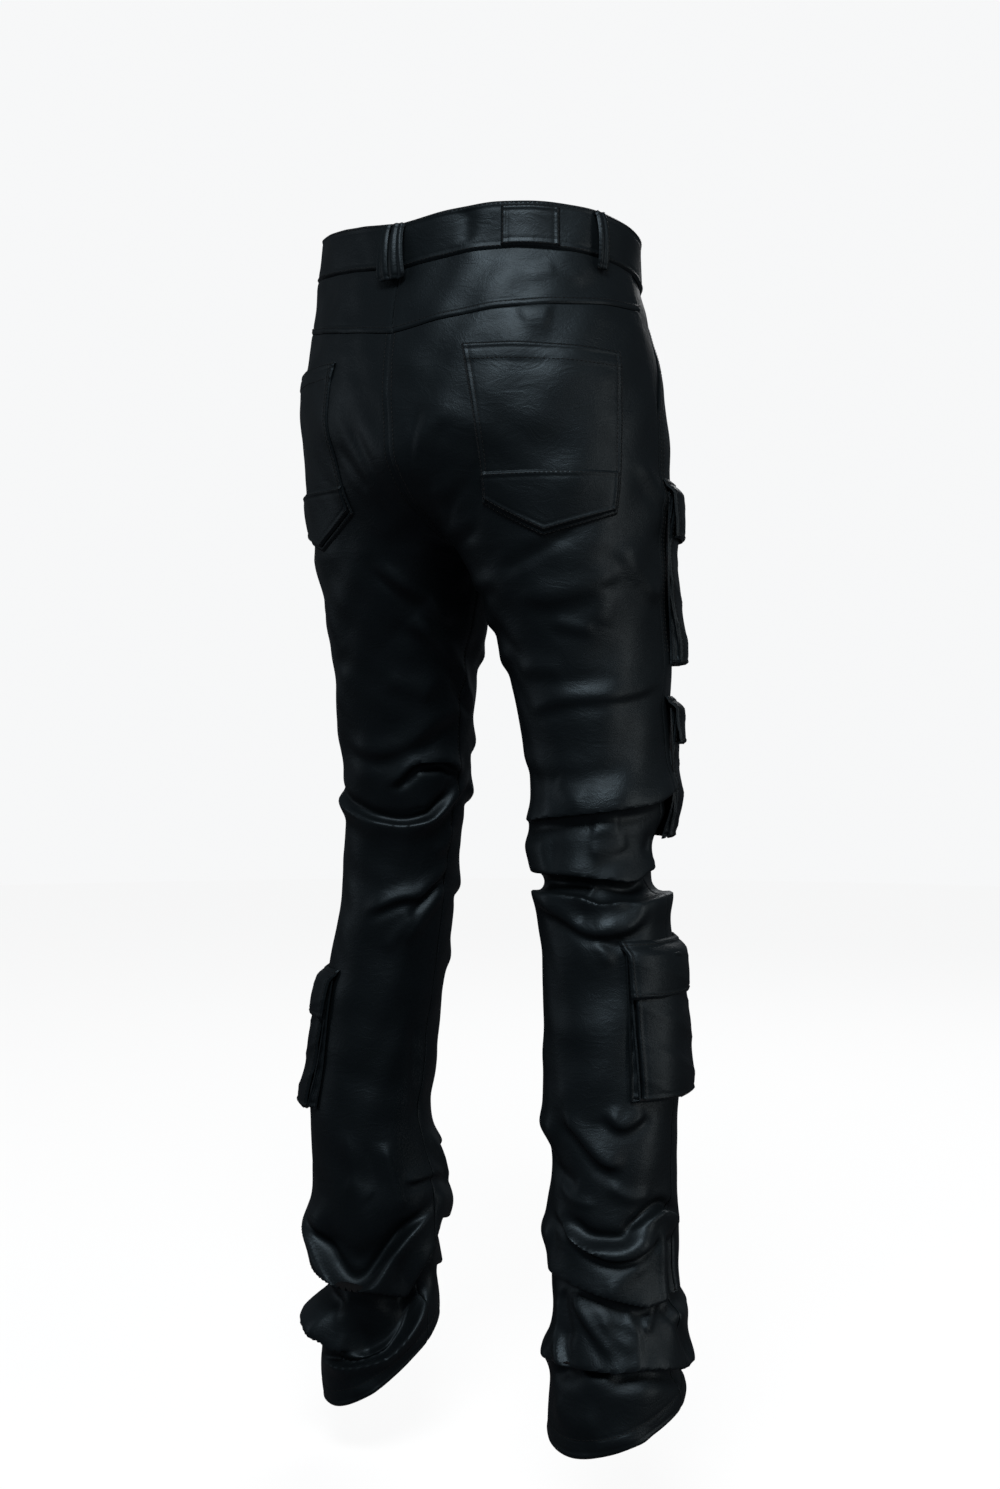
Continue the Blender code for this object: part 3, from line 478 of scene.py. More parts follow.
def leather_point(side, u, drop, folded=False):
    """Points of the leather's outer face, as an array of x, y, z."""
    u, drop = np.broadcast_arrays(np.asarray(u, float), np.asarray(drop, float))
    turn = (2 * u - 1) * math.pi
    slant = hem_tilt(side, turn, drop)
    puff, sag = fold_field(side, turn, drop + slant) if folded else (0.0, 0.0)

    angle = (u - 0.5) * math.pi
    shift, wide, front, back = (column(BODY, i, drop) for i in range(1, 5))
    body_x = (wide + puff) * np.cos(angle)
    body_y = (np.where(angle < 0, front, back) + puff) * np.sin(angle)

    out, behind, half_x, half_y = (column(LEGS[side], i, drop) for i in range(1, 5))
    leg_x = out + (half_x + puff) * np.cos(turn)
    leg_y = behind + (half_y + puff) * np.sin(turn)

    near = near_rise(u)
    start = HIP_DROP - SIDE_STARTS_ABOVE * (1 - near)
    end = CROTCH_DROP + SIDE_ENDS_BELOW * (1 - near)
    share = np.clip((drop - start) / (end - start), 0.0, 1.0)
    at_seam = 1 - (1 - share**2) ** RISE_ROUNDNESS
    leg_share = smooth_step(0.0, 1.0, share) * (1 - near) + at_seam * near
    x = (1 - leg_share) * body_x + leg_share * leg_x
    y = (1 - leg_share) * body_y + leg_share * leg_y
    lift = column(WAIST, 1 if side == "right" else 2, u)
    z = lift * (1 - smooth_step(BAND_DEPTH, HIP_DROP, drop)) - drop - slant - sag
    return np.stack([shift + SIDES[side] * (SEAM_GAP / 2 + x), y, z], axis=-1)


def outward(side, u, drop):
    """Unit normals of the smooth form, pointing away from the wearer."""
    step = 1e-3
    across = leather_point(side, u + step, drop) - leather_point(side, u - step, drop)
    down = leather_point(side, u, drop + step) - leather_point(side, u, drop - step)
    normal = np.cross(down, across) * SIDES[side]
    return normal / np.linalg.norm(normal, axis=-1, keepdims=True)


print("centre back of the waist", leather_point("right", 1.0, 0.0).round(3))

# %% [markdown]
# Leather that has been worn is never quite smooth between its folds. A few slow
# waves, running in different directions through space, add up to that unevenness.
# They depend only on the place, so two pieces that meet at a seam still match.

# %% Unevenness of worn leather
WAVES = [  # wave length along x, y and z in metres, height in metres
    (0.210, 0.260, 0.094, 0.00050),
    (0.150, -0.170, 0.061, 0.00035),
    (-0.110, 0.090, 0.043, 0.00018),
    (0.080, 0.120, -0.029, 0.00009),
    (0.055, 0.062, 0.083, 0.00044),
    (-0.036, 0.047, 0.052, 0.00022),
]


def unevenness(points):
    """The waves' height at each point, with phases that keep them out of step."""
    height = np.zeros(points.shape[:-1])
    for i, (*lengths, size) in enumerate(WAVES):
        phase = (points / np.array(lengths)).sum(-1) * 2 * math.pi + 1.7 * i
        bend = np.sin(points[..., 2] * 31 + 2.3 * i) + np.sin(points[..., 0] * 43 - i)
        height += size * np.sin(phase + 0.8 * bend)
    return height


print("unevenness at the knee", unevenness(np.array([[-0.11, 0.05, -0.5]])).round(5))

# %% [markdown]
# ## Laying a piece of leather
#
# Each piece starts as a flat grid from Blender's own grid operator. Its points are
# closer together near the edges, where a seam needs a tight curve, and in the stack.
# `spread` places them: it walks along the piece and takes small steps in the fine
# zones that it is given.

# %% Spacing of rows and columns
EDGE_STEP = 0.0006
EDGE_ZONE = 0.0055


def spread(start, end, step, scale=1.0, zones=()):
    """Positions from start to end, about step apart, closer at both ends.

    scale turns positions into metres. zones are (from, to, step) with finer steps.
    """
    at = np.linspace(start, end, 4001)
    steps = np.full_like(at, step)
    for low, high, fine in zones:
        inside = smooth_step(low - 0.02, low, at) * (1 - smooth_step(high, high + 0.02, at))
        steps = steps + (fine - steps) * inside
    edge = np.minimum(at - start, end - at) * scale
    density = 1 / steps + (1 / EDGE_STEP - 1 / steps) * bump_at(edge, 0.0, EDGE_ZONE)
    each = (density[1:] + density[:-1]) / 2 * np.diff(at) * scale
    count = np.concatenate([[0.0], np.cumsum(each)])
    return np.interp(np.linspace(0, count[-1], int(round(count[-1])) + 1), count, at)


print("columns across a 25 cm panel:", len(spread(0.0, 0.25, 0.003)))

# %% [markdown]
# A cut edge of leather is never seen on trousers like these. At a seam, both edges
# are turned in, so the surface dives into a narrow groove and the hidden allowance
# lifts it a little beside the groove. `seam_profile` gives that height from the
# distance to the edge. So that no light shows through, one piece of most seams runs
# on under the other, which `lap_under` does. A patch pocket or a flap is turned
# under instead, and its edge is a round bead with the dent of its stitching. Each
# bead, groove and dent is a `hill`: a height, a place and a width in metres.

# %% Edges of a piece
EDGES = ("top", "bottom", "front", "back")
WALL = 0.0014
BAND_WALL = 0.0026
ON_PANEL = 0.0006
LAP = 0.0026
# Each hill: its height, its distance from the edge and its width
GROOVE = (-0.0004, 0.0, 0.0007)
RAISED_ROLL, RAISED_DENT = (-0.0010, 0.0, 0.0009), (-0.0003, 0.0056, 0.0009)
ROLL, BEAD, DENT = (-0.0016, 0.0, 0.0011), (0.0002, 0.0026, 0.0014), (-0.0003, 0.0052, 0.0010)
RAISED, RAISED_ENDS = 0.00075, (0.0042, 0.0058)
ALLOWANCE, ALLOWANCE_STARTS = 0.00015, (0.0008, 0.0030)
ALLOWANCE_ENDS, LAPPED_ENDS = (0.0065, 0.0100), (0.0075, 0.0100)
LAP_STEP = (LAP * 0.82, LAP * 1.15)


def hills(distance, *rows):
    """The height of several hills together, at a distance from the edge."""
    return sum(height * bump_at(distance, at, width) for height, at, width in rows)


def hidden_allowance(distance, ends):
    """The lift of the leather that is folded back behind a seam."""
    return ALLOWANCE * smooth_step(*ALLOWANCE_STARTS, distance) * (1 - smooth_step(*ends, distance))


def seam_profile(distance):
    """Height of the leather beside a seam, from the distance to its edge."""
    return hills(distance, GROOVE) + hidden_allowance(distance, ALLOWANCE_ENDS)


def stitched_seam(distance):
    """A seam whose allowance is stitched down on this side: a raised, rounded edge."""
    raised = RAISED * (1 - smooth_step(*RAISED_ENDS, distance))
    return raised + hills(distance, RAISED_ROLL, RAISED_DENT)


def lap_under(depth):
    """A profile for an edge that runs on under its neighbour, depth metres down."""

    def profile(distance):
        under = 1 - smooth_step(*LAP_STEP, distance)
        return hidden_allowance(distance - LAP, LAPPED_ENDS) - depth * under

    return profile


def turned_edge(distance):
    """Height of a turned-under edge: a bead, then the dent where it is stitched."""
    return hills(distance, ROLL, BEAD, DENT)


ALL_TURNED = dict.fromkeys(EDGES, turned_edge)


def edge_first(grid, edge):
    """The same grid turned so that the named edge is its first row."""
    turned = {
        "top": grid,
        "bottom": grid[::-1],
        "front": np.swapaxes(grid, 0, 1),
        "back": np.swapaxes(grid, 0, 1)[::-1],
    }
    return turned[edge]


def from_edge(points, edge):
    """Each point's distance from the named edge, along the piece."""
    turned = edge_first(points, edge)
    steps = np.linalg.norm(np.diff(turned, axis=0), axis=-1)
    along = np.vstack([np.zeros(turned.shape[1]), np.cumsum(steps, axis=0)])
    if edge == "back":
        along = along[::-1]
    return edge_first(along, "front" if edge == "back" else edge)


print("height 5 mm from a seam", seam_profile(np.array([0.005])))

# %% [markdown]
# `normals_of` finds which way a laid grid faces. It lets a second layer be lifted off
# the first, and it holds the stitches upright.
#
# On the rise, between the legs, four pieces meet, and no piece can run on under
# three others. There `press_at_rise` moves each edge a hair past the middle instead,
# so that the left and the right halves touch inside the seam.

# %% Shape the edges of a grid
PRESSED, PRESSED_AT_CROTCH = 0.0011, 0.0020
PRESSED_WIDTH = 0.0022
CROTCH_POINT = CROTCH_DROP + 0.002  # where the four edges meet
PRESS_FADE = 0.010  # how far below the crotch it lets go
CROTCH_REACH = 0.007


def normals_of(side, points):
    across = np.gradient(points, axis=1)
    down = np.gradient(points, axis=0)
    normal = np.cross(down, across) * SIDES[side]
    return normal / np.maximum(np.linalg.norm(normal, axis=-1, keepdims=True), 1e-12)


def finish_edges(side, points, edges):
    """Shapes the edges: edges maps an edge's name to its profile."""
    normal = normals_of(side, points)
    height = np.zeros(points.shape[:-1])
    for edge, profile in edges.items():
        height += profile(from_edge(points, edge))
    return points + normal * height[..., None]


def press_at_rise(side, points, drops, edge):
    """Moves an edge on the rise a hair past the middle, so that two halves touch."""
    on_rise = 1 - smooth_step(CROTCH_POINT, CROTCH_POINT + PRESS_FADE, drops)
    at_crotch = bump_at(drops, CROTCH_POINT, CROTCH_REACH)
    closeness = bump_at(from_edge(points, edge), 0.0, PRESSED_WIDTH * (1 + at_crotch))
    pressed = points.copy()
    amount = PRESSED * on_rise + PRESSED_AT_CROTCH * at_crotch
    pressed[..., 0] -= SIDES[side] * amount * closeness
    return pressed


print("edges can be shaped")

# %% [markdown]
# ## The finish of the leather
#
# The leather is a black skin with a thin glossy coating, as on biker clothing. It
# has three things to copy: the pebbled grain, a little under a millimetre across,
# the fine wrinkles that run where it bends, and the crests where rubbing has
# polished it. More than one material needs them, so each is a small group of shader
# nodes. `node_group` starts one, with its named sockets.

# %% Start a node group
def node_group(name, inputs, outputs):
    group = bpy.data.node_groups.new(name, "ShaderNodeTree")
    for label, value in inputs.items():
        socket = group.interface.new_socket(
            name=label, in_out="INPUT", socket_type="NodeSocketFloat"
        )
        socket.default_value = value
    for label in outputs:
        group.interface.new_socket(
            name=label, in_out="OUTPUT", socket_type="NodeSocketFloat"
        )
    return group, group.nodes.new("NodeGroupInput"), group.nodes.new("NodeGroupOutput")


def node(tree, kind, **settings):
    """Adds a node. A setting with an upper-case first letter is a socket's value."""
    new = tree.nodes.new(kind)
    for key, value in settings.items():
        if key[0].isupper():
            new.inputs[key.replace("_", " ")].default_value = value
        else:
            setattr(new, key, value)
    return new


def on_object(tree, kind, **settings):
    """A node that reads Object coordinates."""
    new = node(tree, kind, **settings)
    place = node(tree, "ShaderNodeTexCoord")
    tree.links.new(place.outputs["Object"], new.inputs["Vector"])
    return new


def math_node(tree, operation, first, second=None, third=None):
    new = node(tree, "ShaderNodeMath", operation=operation)
    for socket, value in zip(new.inputs, (first, second, third)):
        if isinstance(value, bpy.types.NodeSocket):
            tree.links.new(value, socket)
        elif value is not None:
            socket.default_value = value
    return new.outputs[0]


print("node helpers ready")

# %% [markdown]
# The grain is a Voronoi pattern: its cells are the pebbles and the lines between them
# the pores. A second, finer pattern keeps the pebbles from looking like tiles. The
# pattern reads Object coordinates, so it runs through every piece at one scale.

# %% Grain of the leather
grain, grain_in, grain_out = node_group(
    "leather grain", {"Pebbles per metre": 1000.0}, ["Height"]
)
place = node(grain, "ShaderNodeTexCoord")
wobble = on_object(grain, "ShaderNodeTexNoise", Scale=420.0, Detail=1.0)
push = node(grain, "ShaderNodeVectorMath", operation="SCALE")
push.inputs["Scale"].default_value = 0.0012
grain.links.new(wobble.outputs["Color"], push.inputs[0])
moved = node(grain, "ShaderNodeVectorMath", operation="ADD")
grain.links.new(place.outputs["Object"], moved.inputs[0])
grain.links.new(push.outputs[0], moved.inputs[1])
pebbles = node(grain, "ShaderNodeTexVoronoi", feature="SMOOTH_F1")
pores = node(grain, "ShaderNodeTexNoise", Detail=2.0)
for texture, factor in ((pebbles, 1.0), (pores, 1.8)):
    size = math_node(grain, "MULTIPLY", grain_in.outputs[0], factor)
    grain.links.new(moved.outputs[0], texture.inputs["Vector"])
    grain.links.new(size, texture.inputs["Scale"])
dome = math_node(grain, "SUBTRACT", 1.0, pebbles.outputs["Distance"])
height = math_node(grain, "MULTIPLY_ADD", pores.outputs["Fac"], 0.35, dome)
grain.links.new(height, grain_out.inputs["Height"])
print(len(grain.nodes), "nodes in the grain")

# %% [markdown]
# Fine wrinkles are stretched noise: long across the leg and short along it, because
# a leg bends forwards. The same group gives `Rub`, a slow patchy mask for where the
# coating is duller or shinier.

# %% Fine wrinkles and rubbing
wrinkles, wrinkles_in, wrinkles_out = node_group(
    "fine wrinkles", {"Length": 1.0}, ["Height", "Rub"]
)
stretch = on_object(wrinkles, "ShaderNodeMapping")
stretch.inputs["Scale"].default_value = (40.0, 40.0, 70.0)
stretch.inputs["Rotation"].default_value = (0.12, -0.10, 0.0)
crackle = node(
    wrinkles, "ShaderNodeTexNoise", Scale=1.0, Detail=4.0, Roughness=0.55, Distortion=1.4
)
wrinkles.links.new(stretch.outputs["Vector"], crackle.inputs["Vector"])
wrinkles.links.new(wrinkles_in.outputs["Length"], crackle.inputs["Scale"])
centred = math_node(wrinkles, "SUBTRACT", crackle.outputs["Fac"], 0.5)
ridge = math_node(wrinkles, "POWER", math_node(wrinkles, "ABSOLUTE", centred), 0.7)
height = math_node(wrinkles, "SUBTRACT", 1.0, ridge)
wrinkles.links.new(height, wrinkles_out.inputs["Height"])
patches = on_object(wrinkles, "ShaderNodeTexNoise", Scale=34.0, Detail=3.0, Roughness=0.6)
wrinkles.links.new(patches.outputs["Fac"], wrinkles_out.inputs["Rub"])
print(len(wrinkles.nodes), "nodes in the wrinkles")

# %% [markdown]
# The materials. The coated face is nearly black with a cool tint. Its gloss has two
# parts: the broad sheen of the skin, and a thin clear coat on top for the sharper
# lights. `crest` is painted on each piece when it is made: it is high on a fold's
# ridge, where the coating is polished and slightly greyer.

# %% Materials of the leather, the backing, the thread and the button
def new_material(name):
    material = bpy.data.materials.new(name)
    material.use_nodes = True
    return material, material.node_tree, material.node_tree.nodes["Principled BSDF"]


def placed(tree, group, **values):
    new = node(tree, "ShaderNodeGroup", node_tree=group)
    for label, value in values.items():
        new.inputs[label.replace("_", " ")].default_value = value
    return new


def remap(tree, value, low, high, to_low, to_high):
    new = node(
        tree, "ShaderNodeMapRange", From_Min=low, From_Max=high, To_Min=to_low, To_Max=to_high
    )
    tree.links.new(value, new.inputs["Value"])
    return new.outputs["Result"]


def ramp(tree, factor, dark, light):
    """A colour between dark, where the factor is 0, and light, where it is 1."""
    new = node(tree, "ShaderNodeValToRGB")
    new.color_ramp.elements[0].color = (*dark, 1.0)
    new.color_ramp.elements[1].color = (*light, 1.0)
    tree.links.new(factor, new.inputs["Fac"])
    return new.outputs["Color"]


def bump(tree, height, strength, depth, under=None):
    """A Bump node of a height, which may lie over another one."""
    new = node(tree, "ShaderNodeBump", Strength=strength, Distance=depth)
    tree.links.new(height, new.inputs["Height"])
    if under:
        tree.links.new(under, new.inputs["Normal"])
    return new.outputs["Normal"]


WORN = "crest"
RUBBED = 0.6  # how far rubbing alone moves the colour from dark to light
GLOSS_PATCHES = 0.05  # how much the roughness varies with the rubbing
POLISH = 0.07  # how much smoother a crest is
COOL_SHEEN = (0.66, 0.86, 1.0, 1.0)
COAT_ROUGHNESS = 0.42
GRAIN_STRENGTH = 0.35
WRINKLE_STRENGTH, WRINKLE_DEPTH = 0.45, 0.0009


def leather_material(name, dark, light, rough, coat, grain_depth):
    material, tree, shader = new_material(name)
    pebble = placed(tree, grain)
    crease = placed(tree, wrinkles, Length=1.0)
    worn = node(tree, "ShaderNodeAttribute", attribute_name=WORN).outputs["Fac"]
    rub = crease.outputs["Rub"]

    tone = math_node(tree, "ADD", remap(tree, rub, 0.35, 0.65, 0.0, RUBBED), worn)
    tree.links.new(ramp(tree, tone, dark, light), shader.inputs["Base Color"])
    patchy = remap(tree, rub, 0.3, 0.7, rough + GLOSS_PATCHES, rough - GLOSS_PATCHES)
    polished = math_node(tree, "MULTIPLY_ADD", worn, -POLISH, patchy)
    tree.links.new(polished, shader.inputs["Roughness"])

    fine = bump(tree, pebble.outputs["Height"], GRAIN_STRENGTH, grain_depth)
    soft = bump(tree, crease.outputs["Height"], WRINKLE_STRENGTH, WRINKLE_DEPTH, fine)
    tree.links.new(soft, shader.inputs["Normal"])
    shader.inputs["Specular IOR Level"].default_value = 0.5
    shader.inputs["Specular Tint"].default_value = COOL_SHEEN
    shader.inputs["Coat Weight"].default_value = coat
    shader.inputs["Coat Roughness"].default_value = COAT_ROUGHNESS
    return material


LEATHERS = {  # name, dark, light, roughness, coat, depth of the grain
    "leather": (
        "black leather", (0.0030, 0.0048, 0.0060), (0.0070, 0.0100, 0.0120), 0.48, 0.10, 0.00026,
    ),
    "patch": (
        "smooth patch leather", (0.0040, 0.0058, 0.0070), (0.0080, 0.0110, 0.0130), 0.42, 0.14,
        0.00012,
    ),
}
materials = {key: leather_material(*values) for key, values in LEATHERS.items()}

backing, tree, shader = new_material("woven backing")
weave = on_object(
    tree, "ShaderNodeTexWave", wave_type="BANDS", bands_direction="DIAGONAL",
    Scale=420.0, Distortion=1.5,
)
fibre = on_object(tree, "ShaderNodeTexNoise", Scale=900.0, Detail=2.0)
cotton = ramp(tree, fibre.outputs["Fac"], (0.006, 0.006, 0.007), (0.018, 0.018, 0.020))
tree.links.new(cotton, shader.inputs["Base Color"])
tree.links.new(bump(tree, weave.outputs["Fac"], 0.5, 0.0003), shader.inputs["Normal"])
shader.inputs["Roughness"].default_value = 0.9
shader.inputs["Specular IOR Level"].default_value = 0.2
materials["backing"] = backing

thread, tree, shader = new_material("black thread")
twist = on_object(tree, "ShaderNodeTexNoise", Scale=2400.0, Detail=1.0)
dyed = ramp(tree, twist.outputs["Fac"], (0.004, 0.005, 0.006), (0.010, 0.011, 0.012))
tree.links.new(dyed, shader.inputs["Base Color"])
shader.inputs["Roughness"].default_value = 0.65
materials["thread"] = thread

metal, tree, shader = new_material("button metal")
scratches = on_object(tree, "ShaderNodeTexNoise", Scale=1300.0, Detail=3.0)
brushed = remap(tree, scratches.outputs["Fac"], 0.3, 0.7, 0.24, 0.40)
tree.links.new(brushed, shader.inputs["Roughness"])
shader.inputs["Base Color"].default_value = (0.30, 0.30, 0.31, 1.0)
shader.inputs["Metallic"].default_value = 1.0
materials["metal"] = metal
print(sorted(materials))

# %% [markdown]
# ## From a grid to a piece
#
# `cloth` does what a maker does with one cut piece. It takes a flat sheet, lays it
# on the form, and gives it the thickness of leather with a Solidify modifier. The
# outer face gets the coated leather and the inner face its woven backing. Its UV map
# is then set to the size it was cut to, which is measured on the smooth form.

# %% One piece of leather
made = {}


def cloth(
    name, side, points, smooth, crest,
    wall=WALL, held="laid", rests_on=(), stands_for=(), turn_in=0.0,
):
    """A grid of points as a piece of leather.

    smooth is its grid before creasing. turn_in, the hidden seam allowance of a
    narrow strip over both of its long edges, is not used.
    """
    rows, columns = points.shape[:2]
    bpy.ops.mesh.primitive_grid_add(x_subdivisions=columns - 1, y_subdivisions=rows - 1, size=1)
    piece = bpy.context.active_object
    mesh = piece.data
    piece.name = mesh.name = name
    # The grid's rows run upwards and its columns to the right, seen from outside.
    order = (slice(None, None, -1), slice(None, None, -1 if side == "right" else 1))
    mesh.vertices.foreach_set("co", points[order].ravel().astype(np.float32))

    flat_x = lengths_along(smooth[rows // 2])
    flat_y = lengths_along(smooth[:, columns // 2])
    flat = np.stack(np.meshgrid(flat_x, -flat_y), axis=-1)[order].reshape(-1, 2)
    corner = np.empty(len(mesh.loops), np.int32)
    mesh.loops.foreach_get("vertex_index", corner)
    mesh.uv_layers[0].data.foreach_set("uv", flat[corner].ravel().astype(np.float32))
    worn = mesh.attributes.new(WORN, "FLOAT", "POINT")
    worn.data.foreach_set("value", crest[order].ravel().astype(np.float32))

    mesh.materials.append(materials["leather"])
    mesh.materials.append(materials["backing"])
    solid = piece.modifiers.new("leather thickness", "SOLIDIFY")
    solid.thickness, solid.offset, solid.material_offset = wall, -1.0, 1
    bpy.ops.object.modifier_apply(modifier=solid.name)
    bpy.ops.object.shade_smooth_by_angle(angle=math.radians(50))

    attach(piece, "root")
    if stands_for:
        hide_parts(*stands_for)
    made[name] = (side, points)
    piece.select_set(False)
    return piece


# %% [markdown]
# `on_form` lays a grid on the form. It adds the folds and the unevenness, lifts the
# grid by the height it should stand at, and works out where the crests are. Patch
# pockets are stiffer than the leg under them, so for those only part of the creases
# come through. `lay` does all three steps for one piece: it lays the grid, shapes
# its edges and makes the leather.

# %% Lay a grid on the form
CREST_FROM, CREST_TO, CREST_WEAR = 0.0012, 0.0060, 0.8
CALMER = 0.6  # how much of the unevenness a fully stiff piece loses


def on_form(side, u, drop, lift=0.0, stiff=0.0):
    """Points on the creased form, the same points uncreased, and their crests."""
    smooth = leather_point(side, u, drop)
    creased = leather_point(side, u, drop, folded=True)
    points = creased + (smooth - creased) * stiff
    normal = outward(side, u, drop)
    height = lift + unevenness(points) * (1 - CALMER * stiff)
    points = points + normal * height[..., None]
    raised = np.einsum("...i,...i", points - smooth, normal) - lift
    crest = smooth_step(CREST_FROM, CREST_TO, raised) * CREST_WEAR
    return points, smooth + normal * np.asarray(lift)[..., None], crest


def lay(name, side, u, drop, edges, lift=0.0, stiff=0.0, worn=1.0, press=None, **said):
    """Makes the piece of leather that covers these places on the form.

    worn scales its crests, press names an edge on the rise, and the rest is cloth's.
    """
    u, drop, lift = np.broadcast_arrays(u, drop, lift)
    points, smooth, crest = on_form(side, u, drop, lift, stiff)
    points = finish_edges(side, points, edges)
    if press:
        points = press_at_rise(side, points, drop, press)
    return cloth(name, side, points, smooth, crest * worn, **said)


print(on_form("right", 0.7, 0.4)[0].round(4))

# %% [markdown]
# ## Backs of the legs
#
# Each leg has one long back panel, from the yoke seam to the hem. It carries most of
# the folds, so its rows are closer together at the knee and in the stack. The first
# rows follow the slanted yoke seam and level out further down. The inner edge is
# pressed against the other leg's on the rise, and below the crotch it runs on under
# the front panel.

# %% Back panels
OUTSEAM_U = 0.483
SEAM_U = 0.0006
BAND_SEAM = BAND_DEPTH + 0.0004
FORM_WIDTH = 0.40  # metres round one leg, near enough for spacing columns
COLUMN_STEP = 0.0025
ROW_STEP = 0.0032
FOLDED_DROPS = [(0.455, 0.59), (0.71, 1.00)]  # the knee and the stack
BACK_FINE_STEP, FRONT_FINE_STEP = 0.0016, 0.0022  # the back has the sharper folds
LEVEL_BELOW = 0.09
HEM_LINE = 0.0150
HALF_HIPS = 0.45
LAP_U = LAP / HALF_HIPS
UNDER_LEATHER, UNDER_BAND = lap_under(WALL + 0.0005), lap_under(BAND_WALL - 0.0002)
INSEAM_LAPS = (CROTCH_DROP, CROTCH_DROP + 0.008)


def yoke_drop(u):
    return column(YOKE, 1, u)


def leg_rows(side, top, fine):
    """Drops of a leg panel's rows, with the fine step where the folds are."""
    zones = [(low, high, fine) for low, high in FOLDED_DROPS]
    return spread(top, HEM_DROP[side], ROW_STEP, 1.0, zones)[:, None]


def hem_edge(distance):
    """A hem turned up inside: a round lower edge, with a stitched line above it."""
    return hills(distance, ROLL, BEAD, DENT, (-0.0005, HEM_LINE, 0.0012))


def inseam_edge(lap):
    """A plain seam on the rise, and below the crotch an edge that runs on under."""
    return lambda distance: UNDER_LEATHER(distance) * lap + seam_profile(distance) * (1 - lap)


shares = spread(0.0, 1.0, COLUMN_STEP, FORM_WIDTH * (1 - OUTSEAM_U))
u_start = OUTSEAM_U + SEAM_U - LAP_U
top = yoke_drop(u_start + (1 - u_start) * shares) + SEAM_GAP - LAP
for side in SIDES:
    rows = leg_rows(side, top.mean(), BACK_FINE_STEP)
    follow = 1 - smooth_step(rows[0, 0], rows[0, 0] + LEVEL_BELOW, rows)
    drops = rows + (top - top.mean()) * follow
    lap = smooth_step(*INSEAM_LAPS, drops)
    us = u_start + (1 - SEAM_U + (LAP_U + SEAM_U) * lap - u_start) * shares
    edges = {"top": UNDER_LEATHER, "front": UNDER_LEATHER}
    edges.update(back=inseam_edge(lap), bottom=hem_edge)
    lay(f"back_leg_{side}", side, us, drops, edges, press="back",
        held="hung", rests_on=["waistband"], stands_for=[f"back_{side}"])

# %% [markdown]
# ## Fronts of the legs
#
# The front panels are made the same way, but their outer top corner is cut away in
# a slant, which is the mouth of the hip pocket. Each row therefore ends at its own
# place: on the mouth above, and on the outseam below it.

# %% Front panels
MOUTH = [(0.300, BAND_DEPTH), (0.484, 0.165)]


def outer_end(drop):
    """Where a row of the front panel ends, as u."""
    (u_top, d_top), (u_low, d_low) = MOUTH
    along = np.clip((drop - d_top) / (d_low - d_top), 0, 1)
    return np.minimum(u_top + (u_low - u_top) * along, OUTSEAM_U - SEAM_U)


shares = spread(0.0, 1.0, COLUMN_STEP, FORM_WIDTH * OUTSEAM_U)
edges = {"top": UNDER_BAND, "front": seam_profile, "back": seam_profile, "bottom": hem_edge}
for side in SIDES:
    rows = leg_rows(side, BAND_SEAM - LAP, FRONT_FINE_STEP)
    us = SEAM_U + (outer_end(rows) - SEAM_U) * shares
    lay(f"front_leg_{side}", side, us, rows, edges, press="front",
        held="hung", rests_on=["waistband"], stands_for=[f"front_{side}"])

# %% [markdown]
# Behind each slanted mouth lies the facing, a layer of leather sewn to the pocket
# bag. It fills the cut corner and goes on a little way under the front panel.

# %% Pocket facings
FACING_BOTTOM = 0.190
FACING_UNDER = 0.075  # how far in u it goes on under the front panel
FACING_STEP = 0.004
rows = spread(BAND_SEAM - LAP, FACING_BOTTOM, FACING_STEP)[:, None]
inner = outer_end(rows) - FACING_UNDER
us = inner + (OUTSEAM_U + LAP_U - inner) * spread(0.0, 1.0, FACING_STEP, 0.06)
for side in SIDES:
    lay(f"mouth_facing_{side}", side, us, rows, {}, lift=-(WALL + ON_PANEL),
        rests_on=[f"front_leg_{side}"], stands_for=[f"pocket_facing_{side}"])

# %% [markdown]
# ## Yokes and waistband
#
# The yoke is the curved piece over the seat that gives the back its shape. It meets
# the back panel at a sewn seam, and the seam allowance makes its lower edge stand
# up a little.

# %% Yokes
YOKE_STEP, YOKE_DEPTH = 0.0024, 0.045
for side in SIDES:
    end, back = (1 + LAP_U, UNDER_LEATHER) if side == "left" else (1 - SEAM_U, seam_profile)
    us = spread(OUTSEAM_U + SEAM_U, end, COLUMN_STEP, FORM_WIDTH)
    low, high = yoke_drop(us), BAND_SEAM - LAP
    drops = high + (low - high) * spread(0.0, 1.0, YOKE_STEP, YOKE_DEPTH)[:, None]
    edges = {"top": UNDER_BAND, "bottom": stitched_seam, "front": seam_profile, "back": back}
    lay(f"seat_yoke_{side}", side, us, drops, edges,
        held="hung", rests_on=["waistband"], stands_for=[f"yoke_{side}"])

# %% [markdown]
# The waistband is one strip of doubled leather, folded over along its top edge. It
# starts at the centre front, runs round the right side and the back, and ends at
# the left front. Its first centimetre and a half is the underlap, which lies behind
# the left end where the button holds them together. Its face bows out a little.

# %% Waistband
BAND_PROUD = 0.0004
BAND_BOW = 0.0004
ON_BAND = BAND_PROUD + WALL + ON_PANEL
BAND_STEP = 0.0022
UNDERLAP_U, UNDERLAP_STEP = 0.035, (-0.0035, 0.0005)
HALF_WAIST = 0.42


def join_at_back(first, second):
    """The right half, then the left half, meeting at the centre back."""
    middle = (first[:, -1:] + second[:, -1:]) / 2
    return np.concatenate([first[:, :-1], middle, second[:, -2::-1]], axis=1)


